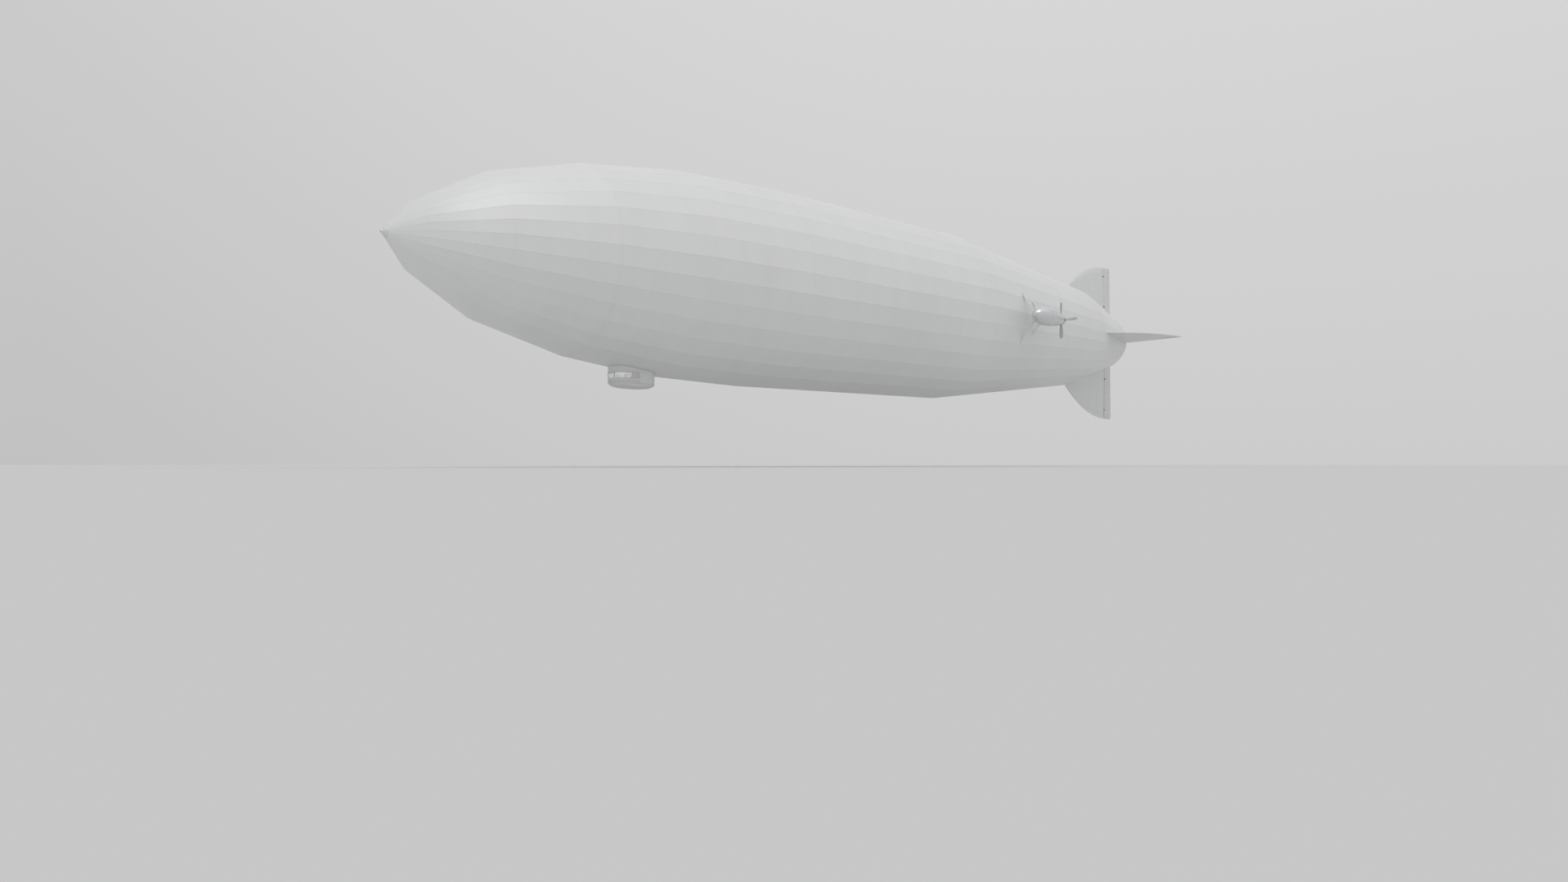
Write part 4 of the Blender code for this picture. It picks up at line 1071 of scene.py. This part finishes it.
def facet_frame(x, side, degrees):
    """A point on the hull at an angle above its beam, the way out there, and the way forward along the facet."""
    step = math.tau / SIDES
    angle = math.radians(degrees)
    middle = (math.floor(angle / step) + 0.5) * step
    station = NOSE_X - x
    slope = (hull_radius(station + 0.05) - hull_radius(station - 0.05)) / 0.10 * math.cos(step / 2)
    radius = hull_radius(station) * math.cos(step / 2) / math.cos(angle - middle)
    place = Vector((x, side * radius * math.cos(angle), radius * math.sin(angle)))
    beam = Vector((0, side * math.cos(middle), math.sin(middle)))
    out = (beam + Vector((slope, 0, 0))).normalized()
    return place, out, (Vector((1, 0, 0)) - beam * slope).normalized()


def make_struts(word, side):
    for name, hull_x, nacelle_x, half_thickness, chord, upper, lower in STRUT_PAIRS:
        meeting = Vector((nacelle_x, side * (NACELLE_Y - STRUT_MEETING), NACELLE_Z))
        shapes = []
        heads = []
        for degrees in (upper, lower):
            start, out, forward = facet_frame(hull_x, side, degrees)
            along = (meeting - start).normalized()
            ahead = Vector((1, 0, 0)) - along * along.x
            ahead.normalize()
            across = along.cross(ahead)
            length = (meeting - start).length
            rings = []
            marks = ((-0.030, 1.30), (0.002, 1.30), (0.010, 1.16), (0.020, 1.05), (0.034, 1.0))
            marks += ((length - 0.050, 1.0), (length - 0.020, 1.10), (length + 0.010, 1.25))
            for offset, scale in marks:
                rings.append(strut_ring(start + along * offset, ahead, across, half_thickness, chord, scale))
            shapes.append(loft(rings))
            shapes.append(foot_plate(start, out, forward, chord))
            beside = out.cross(forward)
            for corner in range(4):
                turn = math.tau * (corner + 0.5) / 4
                place = start + forward * (chord * 1.05 * math.cos(turn)) + beside * (0.026 * math.sin(turn))
                heads.append(bolt(place + out * 0.0018, out, 0.0022, 0.0024))
        profile = ((-0.040, 0.008), (-0.034, 0.018), (-0.020, 0.026), (0.0, 0.030), (0.020, 0.031), (0.030, 0.029))
        shapes.append(moved(lathe((0, 0, 0), profile, 32, "Z"), pointing(meeting, Vector((0, side, 0)))))
        add_piece(f"{name}_{word}_fairing", joined(shapes), "strut", crease=35, replaces=(f"{name}_{word}",))
        add_piece(f"{name}_{word}_bolts", joined(heads), "fitting", crease=30)


def foot_plate(start, out, forward, chord):
    """A plate with round corners under a strut's foot, flat on the hull's facet."""
    rings = []
    beside = out.cross(forward)
    for lift, scale in ((-0.010, 1.0), (0.0012, 1.0), (0.0022, 0.95)):
        ring = []
        for step in range(32):
            turn = math.tau * step / 32
            wide = abs(math.cos(turn)) ** 0.5 * (1 if math.cos(turn) > 0 else -1)
            tall = abs(math.sin(turn)) ** 0.5 * (1 if math.sin(turn) > 0 else -1)
            ring.append(start + out * lift + forward * (chord * 0.95 * wide * scale) + beside * (0.025 * tall * scale))
        rings.append(ring)
    return loft(rings)


def plan_point(place, inset=0.0):
    """A point on the car's plan. Places 0 to 1 are the starboard side, 1 to 2 the front, 2 to 3 the port side."""
    half = CAR_HALF_WIDTH - inset
    if place <= 1.0:
        return Vector((SIDE_WINDOW_BACK_X + (CAR_FRONT_CENTRE_X - SIDE_WINDOW_BACK_X) * place, -half, 0))
    if place >= 2.0:
        return Vector((CAR_FRONT_CENTRE_X + (SIDE_WINDOW_BACK_X - CAR_FRONT_CENTRE_X) * (place - 2.0), half, 0))
    angle = math.pi * (place - 1.5)
    return Vector((CAR_FRONT_CENTRE_X + (CAR_FRONT_REACH - inset) * math.cos(angle), half * math.sin(angle), 0))


def car_plan(inset=0.0, scale=1.0):
    corners = [plan_point(1.0 + step / CAR_ARC_STEPS, inset) for step in range(CAR_ARC_STEPS + 1)]
    for step in range(CAR_ARC_STEPS + 1):
        angle = math.pi * (0.5 + step / CAR_ARC_STEPS)
        x = CAR_BACK_CENTRE_X + (CAR_BACK_REACH - inset) * math.cos(angle)
        corners.append(Vector((x, (CAR_HALF_WIDTH - inset) * math.sin(angle), 0)))
    keel = Vector((KEEL_POINT_X, 0, 0))
    return [keel + (corner - keel) * scale for corner in corners]


def at_height(corners, z):
    return [Vector((corner.x, corner.y, z)) for corner in corners]


def band(first, last, outer, inner, foot, top):
    """A strip along the car's plan between two places, two insets and two heights."""
    steps = max(1, math.ceil((min(last, 2.0) - max(first, 1.0)) * CAR_ARC_STEPS))
    rings = []
    for step in range(steps + 1):
        place = first + (last - first) * step / steps
        near = plan_point(place, outer)
        far = plan_point(place, inner)
        rings.append([Vector((p.x, p.y, z)) for p, z in ((near, foot), (near, top), (far, top), (far, foot))])
    return loft(rings)


def shrunk(first, last, width):
    front_length = math.pi * (CAR_FRONT_REACH + CAR_HALF_WIDTH) / 2
    side_length = CAR_FRONT_CENTRE_X - SIDE_WINDOW_BACK_X
    length = side_length if first < 1.0 or first >= 2.0 else front_length
    return first + width / length, last - width / length


def box(low, high):
    points = [(x, y, z) for x in (low[0], high[0]) for y in (low[1], high[1]) for z in (low[2], high[2])]
    return points, [(0, 1, 3, 2), (4, 6, 7, 5), (0, 4, 5, 1), (2, 3, 7, 6), (0, 2, 6, 4), (1, 5, 7, 3)]


def hull_under(x, y):
    """Height of the hull's underside over the car."""
    return -(hull_radius(NOSE_X - x) - abs(y) * math.tan(math.pi / SIDES))


def outward(corners, number):
    along = corners[(number + 1) % len(corners)] - corners[number - 1]
    return Vector((along.y, -along.x, 0)).normalized()


def rail(corners, section):
    """A moulding round the car's plan, from offsets outwards and heights."""
    rings = []
    for number, corner in enumerate(corners):
        out = outward(corners, number)
        rings.append([Vector((corner.x, corner.y, 0)) + out * offset + Vector((0, 0, z)) for offset, z in section])
    return loft(rings, looped=True)


def make_car():
    plan = car_plan()
    inner = car_plan(CAR_WALL)
    wall = [at_height(plan, WALL_FOOT_Z), at_height(plan, CAR_TOP_Z), at_height(inner, CAR_TOP_Z), at_height(inner, WALL_FOOT_Z)]
    tools = []
    frames = []
    for first, last in WINDOWS:
        start, end = shrunk(first, last, POST_WIDTH / 2)
        tools.append(band(start, end, -0.02, CAR_WALL + 0.02, WINDOW_SILL_Z, WINDOW_TOP_Z))
        wide_start, wide_end = shrunk(first, last, POST_WIDTH / 2 - 0.0035)
        frames.append(band(wide_start, wide_end, -0.0016, 0.001, WINDOW_SILL_Z - 0.0045, WINDOW_SILL_Z + 0.0006))
        frames.append(band(wide_start, wide_end, -0.0016, 0.001, WINDOW_TOP_Z - 0.0006, WINDOW_TOP_Z + 0.0045))
        near_start, near_end = shrunk(first, last, POST_WIDTH / 2 + 0.0006)
        for a, b in ((wide_start, near_start), (near_end, wide_end)):
            frames.append(band(a, b, -0.0014, 0.001, WINDOW_SILL_Z, WINDOW_TOP_Z))
    outside = -CAR_HALF_WIDTH
    low = (DOOR_SPAN[0] - DOOR_GAP, outside - 0.02, DOOR_HEIGHTS[0] - DOOR_GAP)
    high = (DOOR_SPAN[1] + DOOR_GAP, outside + CAR_WALL + 0.02, DOOR_HEIGHTS[1] + DOOR_GAP)
    tools.append(box(low, high))
    data = cut(loft(wall, looped=True), tools)
    add_mesh("car_wall", data, "car", crease=30, replaces=("car_shell",))
    add_piece("window_frames", joined(frames), "frame", crease=30)
    make_car_trim(plan)
    make_car_bottom(plan)
    make_door_trim()
    make_hinge_arms()
    make_car_inside()


def make_car_trim(plan):
    shapes = [rail(plan, ((-0.002, -1.4285), (0.0022, -1.4275), (0.0032, -1.425), (0.0022, -1.4225), (-0.002, -1.4215)))]
    drip = []
    for step in range(85):
        place = 0.03 + 2.97 * step / 84
        rows = ((0.002, -1.2905), (-0.0026, -1.2905), (-0.0030, -1.2885), (0.002, -1.2862))
        drip.append([plan_point(place, inset) + Vector((0, 0, z)) for inset, z in rows])
    shapes.append(loft(drip))
    rings = []
    for number, corner in enumerate(plan):
        out = outward(plan, number)
        z = hull_under(corner.x, corner.y)
        ring = []
        for offset, drop in ((-0.003, 0.014), (0.0014, 0.014), (0.0024, 0.0065), (0.0085, 0.0022), (0.0085, -0.006), (-0.003, -0.006)):
            spot = corner + out * offset
            ring.append(Vector((spot.x, spot.y, hull_under(spot.x, spot.y) - drop)))
        rings.append(ring)
    shapes.append(loft(rings, looped=True))
    add_piece("car_mouldings", joined(shapes), "frame", crease=30)
    heads = []
    for number, corner in enumerate(plan):
        out = outward(plan, number)
        following = plan[(number + 1) % len(plan)]
        count = max(1, round((following - corner).length / 0.0125))
        for step in range(count):
            spot = corner + (following - corner) * (step / count)
            for z in (-1.4175, -1.3735, -1.2820):
                in_door = spot.y < -0.17 and DOOR_SPAN[0] - 0.010 < spot.x < DOOR_SPAN[1] + 0.016
                if not (in_door and z > -1.4170):
                    heads.append(rivet(Vector((spot.x, spot.y, z)), out, 0.0010, 0.5))
    add_piece("car_rivets", joined(heads), "frame", crease=30)
    path = []
    for step in range(61):
        place = 0.32 + (2.95 - 0.32) * step / 60
        path.append(plan_point(place, -0.0095) + Vector((0, 0, -1.4020)))
    shapes = [pipe(path, 0.0015)]
    for place in (0.36, 0.95, 1.25, 1.5, 1.75, 2.05, 2.5, 2.92):
        foot = plan_point(place, 0.0) + Vector((0, 0, -1.4020))
        head = plan_point(place, -0.0095) + Vector((0, 0, -1.4020))
        out = (head - foot).normalized()
        shapes.append(pipe([foot - out * 0.001, head], 0.0012))
        shapes.append(moved(lathe((0, 0, 0), ((0.0, 0.0032), (0.0012, 0.0032), (0.0016, 0.0024)), 16, "Z"), pointing(foot, out)))
    add_piece("car_handrail", joined(shapes), "fitting", crease=30)


def make_car_bottom(plan):
    count = 14
    outer = []
    for step in range(count + 1):
        share = step / count
        angle = share * math.pi / 2
        z = -1.4253 - 0.0557 * math.sin(angle) ** 0.9
        scale = 0.34 + 0.66 * bottom_scale(z)
        outer.append(at_height(car_plan(0.0, scale), z))
    inner = [
        at_height(car_plan(CAR_BOTTOM_WALL, scale), z + (CAR_BOTTOM_WALL if scale < 1.0 else 0.0))
        for z, scale in CAR_BOTTOM_RINGS
    ]
    shape = loft(list(reversed(outer)) + inner)
    add_piece("car_keel_tray", shape, "car", crease=35, replaces=("car_bottom",))
    heads = []
    strakes = []
    for scale_ring, z in ((0.905, -1.4530),):
        ring = at_height(car_plan(0.0, scale_ring), z)
        for number in range(0, len(ring), 2):
            heads.append(rivet(ring[number] + outward(ring, number) * 0.0004, outward(ring, number) + Vector((0, 0, -0.7)), 0.0010, 0.5))
    keel = []
    for x, sunk in ((3.560, 0.0022), (3.564, 0.0), (3.748, 0.0), (3.752, 0.0022)):
        section = ((-0.008, 0.003), (-0.006, -0.0022 + sunk), (0.006, -0.0022 + sunk), (0.008, 0.003))
        keel.append([Vector((x, y, -1.4810 + z)) for y, z in section])
    strakes.append(loft(keel))
    add_piece("car_keel_strake", joined(strakes + heads), "frame", crease=30)


def bottom_scale(z):
    """How far the tray has drawn in at a height, from 1 at its rim to 0 at its flat."""
    rows = [(-height, (scale - 0.34) / 0.66) for height, scale in CAR_BOTTOM_RINGS]
    return min(1.0, max(0.0, eased(rows, -z)))


def make_door_trim():
    """Frame strips, rivets, a handle and a kick plate on the door."""
    skin = -CAR_HALF_WIDTH
    left, right = DOOR_SPAN
    foot, top = DOOR_HEIGHTS
    shapes = []
    window = (DOOR_WINDOW[0], DOOR_WINDOW[1], WINDOW_SILL_Z, WINDOW_TOP_Z)
    x0, x1, z0, z1 = window
    for a, b in (((x0 - 0.004, z0 - 0.004), (x1 + 0.004, z0)), ((x0 - 0.004, z1), (x1 + 0.004, z1 + 0.004))):
        shapes.append(rounded_box((a[0], skin - 0.0014, a[1]), (b[0], skin + 0.001, b[1]), 0.0005))
    for a, b in (((x0 - 0.004, z0), (x0, z1)), ((x1, z0), (x1 + 0.004, z1))):
        shapes.append(rounded_box((a[0], skin - 0.0014, a[1]), (b[0], skin + 0.001, b[1]), 0.0005))
    shapes.append(rounded_box((left + 0.006, skin - 0.0010, foot + 0.005), (right - 0.018, skin + 0.001, foot + 0.022), 0.0005))
    add_piece("door_frame_strips", joined(shapes), "frame", "car_door", crease=30)
    heads = []
    for step in range(7):
        z = foot + 0.006 + (top - foot - 0.012) * step / 6
        heads.append(rivet((left + 0.003, skin, z), (0, -1, 0), 0.0009, 0.5))
    for step in range(6):
        x = left + 0.008 + (right - left - 0.030) * step / 5
        heads.append(rivet((x, skin, top - 0.003), (0, -1, 0), 0.0009, 0.5))
        heads.append(rivet((x, skin - 0.0009, foot + 0.0135), (0, -1, 0), 0.0009, 0.5))
    plate = rounded_box((left + 0.005, skin - 0.0012, -1.3800), (left + 0.0115, skin + 0.001, -1.3670), 0.0006)
    grip = [(left + 0.0085, skin, -1.3735), (left + 0.0085, skin - 0.0042, -1.3735), (left + 0.0200, skin - 0.0046, -1.3737)]
    heads.extend([plate, pipe([Vector(p) for p in grip], 0.0011, 10)])
    add_piece("door_handle", joined(heads), "fitting", "car_door", crease=30)


def make_hinge_arms():
    """The arms and pins on the wall that hold the door's two knuckles."""
    skin = -CAR_HALF_WIDTH
    shapes = []
    for height in DOOR_HINGE_HEIGHTS:
        rise = 0.006 + 0.0006 + 0.002
        x, y = DOOR_HINGE
        shapes.append(lathe((x, y, height), ((-rise - 0.002, 0.0022), (rise + 0.002, 0.0022)), 16, "Z"))
        for way in (-1, 1):
            z = height + way * rise
            eye = ((-0.002, 0.0046), (-0.0014, 0.0052), (0.0014, 0.0052), (0.002, 0.0046))
            shapes.append(lathe((x, y, z), eye, 20, "Z"))
            shapes.append(rounded_box((x - 0.001, y, z - 0.0013), (x + 0.012, skin + 0.003, z + 0.0013), 0.0003))
        shapes.append(rounded_box((x + 0.004, skin - 0.0016, height - 0.011), (x + 0.0125, skin + 0.001, height + 0.011), 0.0006))
    add_piece("door_hinge_arms", joined(shapes), "fitting", crease=30)


def make_car_inside():
    for name, x, y, along in HELMS:
        foot = Vector((x, y, DECK_TOP_Z))
        stand = ((0.0003, 0.0145), (0.003, 0.0145), (0.005, 0.0095), (0.050, 0.0070), (0.060, 0.0085), (0.079, 0.0105), (0.083, 0.0085))
        shapes = [lathe(foot, stand, 24, "Z")]
        step = Vector((-0.022, 0, 0)) if along == "X" else Vector((0, -0.022, 0))
        hub = Vector((x, y, HELM_WHEEL_Z)) + step
        rim = []
        for number in range(48):
            angle = math.tau * number / 48
            flat = (0.030 * math.cos(angle), 0.030 * math.sin(angle))
            rim.append(hub + Vector((0, *flat) if along == "X" else (flat[0], 0, flat[1])))
        way = Vector((1, 0, 0)) if along == "X" else Vector((0, 1, 0))
        rings = []
        for number, point in enumerate(rim):
            out = (point - hub).normalized()
            rings.append([point + out * (0.0026 * math.cos(math.tau * s / 8)) + way * (0.0026 * math.sin(math.tau * s / 8)) for s in range(8)])
        shapes.append(loft(rings, looped=True))
        shapes.append(lathe(hub, ((-0.004, 0.004), (-0.003, 0.0062), (0.003, 0.0062), (0.022, 0.0040)), 20, along))
        for number in range(6):
            angle = math.tau * number / 6
            flat = (math.cos(angle), math.sin(angle))
            out = Vector((0, *flat) if along == "X" else (flat[0], 0, flat[1]))
            profile = ((0.004, 0.0013), (0.028, 0.0011))
            shapes.append(moved(lathe((0, 0, 0), profile, 8, "Z"), pointing(hub, out)))
        add_piece(name + "_wheel", joined(shapes), "fitting", crease=35, replaces=(name,))
    (x0, y0), (x1, y1), top = CHART_TABLE
    shapes = [rounded_box((x0, y0, top - 0.006), (x1, y1, top), 0.0012)]
    for x in (x0 + 0.006, x1 - 0.006):
        shapes.append(rounded_box((x - 0.003, 0.018, DECK_TOP_Z + 0.0003), (x + 0.003, 0.078, top - 0.005), 0.0008))
    shapes.append(rounded_box((x0 + 0.003, y0 + 0.002, top - 0.001), (x0 + 0.006, y1 - 0.002, top + 0.003), 0.0006))
    add_piece("chart_table_top", joined(shapes), "deck", crease=30, replaces=("chart_table",))


def main():
    record_slots = {part["node"]: part["material_slot"] for part in frame["record"]["subparts"]}
    for name, made in frame["nodes"].items():
        made.data.materials.clear()
        made.data.materials.append(FINISHES[record_slots[name]])
    make_hull()
    for name, surface, body, degrees in FINS:
        make_fin(name, surface, body, degrees)
    for word, side in (("port", 1), ("starboard", -1)):
        make_nacelle(word, side)
    make_car()
    make_stage()


def make_stage():
    scene = bpy.context.scene
    scene.view_settings.view_transform = "Standard"
    camera = bpy.data.objects.new("camera", bpy.data.cameras.new("camera"))
    scene.collection.objects.link(camera)
    camera.location = CAMERA_PLACE
    camera.rotation_mode = "QUATERNION"
    camera.rotation_quaternion = Vector(CAMERA_LOOK).to_track_quat("-Z", "Y")
    camera.data.lens = CAMERA_LENS
    camera.data.sensor_width = CAMERA_SENSOR
    camera.data.clip_start = 0.01
    camera.data.clip_end = 1000.0
    scene.camera = camera
    half = FLOOR_SIZE / 2
    corners = [(-half, -half, FLOOR_Z), (half, -half, FLOOR_Z), (half, half, FLOOR_Z), (-half, half, FLOOR_Z)]
    floor = bpy.data.objects.new("floor", mesh_from("floor", corners, [(0, 1, 2, 3)]))
    scene.collection.objects.link(floor)
    tree = Tree("floor_finish")
    tree.shader.inputs["Base Color"].default_value = FLOOR_COLOUR
    tree.shader.inputs["Specular IOR Level"].default_value = 0.0
    floor.data.materials.append(tree.surface(1.0))
    sun = bpy.data.objects.new("overhead", bpy.data.lights.new("overhead", "SUN"))
    scene.collection.objects.link(sun)
    sun.data.energy = OVERHEAD_STRENGTH
    sun.data.angle = math.radians(OVERHEAD_SPREAD)
    sun.rotation_mode = "QUATERNION"
    sun.rotation_quaternion = Vector(OVERHEAD_WAY).to_track_quat("-Z", "Y")
    cabin = bpy.data.objects.new("cabin_lamp", bpy.data.lights.new("cabin_lamp", "POINT"))
    scene.collection.objects.link(cabin)
    cabin.location = CABIN_LAMP
    cabin.data.energy = CABIN_STRENGTH
    cabin.data.shadow_soft_size = 0.03
    cabin.visible_camera = False
    scene.world = studio_world()


def studio_world():
    """A pale room, a little brighter overhead and darker to the left of the camera."""
    world = bpy.data.worlds.new("studio")
    world.use_nodes = True
    nodes = world.node_tree.nodes
    links = world.node_tree.links
    way = nodes.new("ShaderNodeTexCoord").outputs["Generated"]
    split = nodes.new("ShaderNodeSeparateXYZ")
    links.new(way, split.inputs[0])

    def math_node(operation, first, second):
        made = nodes.new("ShaderNodeMath")
        made.operation = operation
        for socket, value in zip(made.inputs, (first, second)):
            if isinstance(value, bpy.types.NodeSocket):
                links.new(value, socket)
            else:
                socket.default_value = value
        return made.outputs[0]

    side = nodes.new("ShaderNodeVectorMath")
    side.operation = "DOT_PRODUCT"
    links.new(way, side.inputs[0])
    side.inputs[1].default_value = ROOM_RIGHT
    left = math_node("MAXIMUM", math_node("SUBTRACT", ROOM_EDGE, side.outputs["Value"]), 0.0)
    shade = math_node("MULTIPLY", math_node("POWER", math_node("DIVIDE", left, 2 * ROOM_EDGE), 3.0), ROOM_SHADE)
    rise = math_node("MULTIPLY", math_node("MAXIMUM", split.outputs["Z"], 0.0), ROOM_RISE)
    light = math_node("SUBTRACT", math_node("ADD", rise, ROOM_LIGHT), math_node("MINIMUM", shade, ROOM_SHADE))
    links.new(light, nodes["Background"].inputs["Strength"])
    nodes["Background"].inputs["Color"].default_value = (1.0, 1.0, 1.0, 1.0)
    return world



FINISHES = make_finishes()
main()
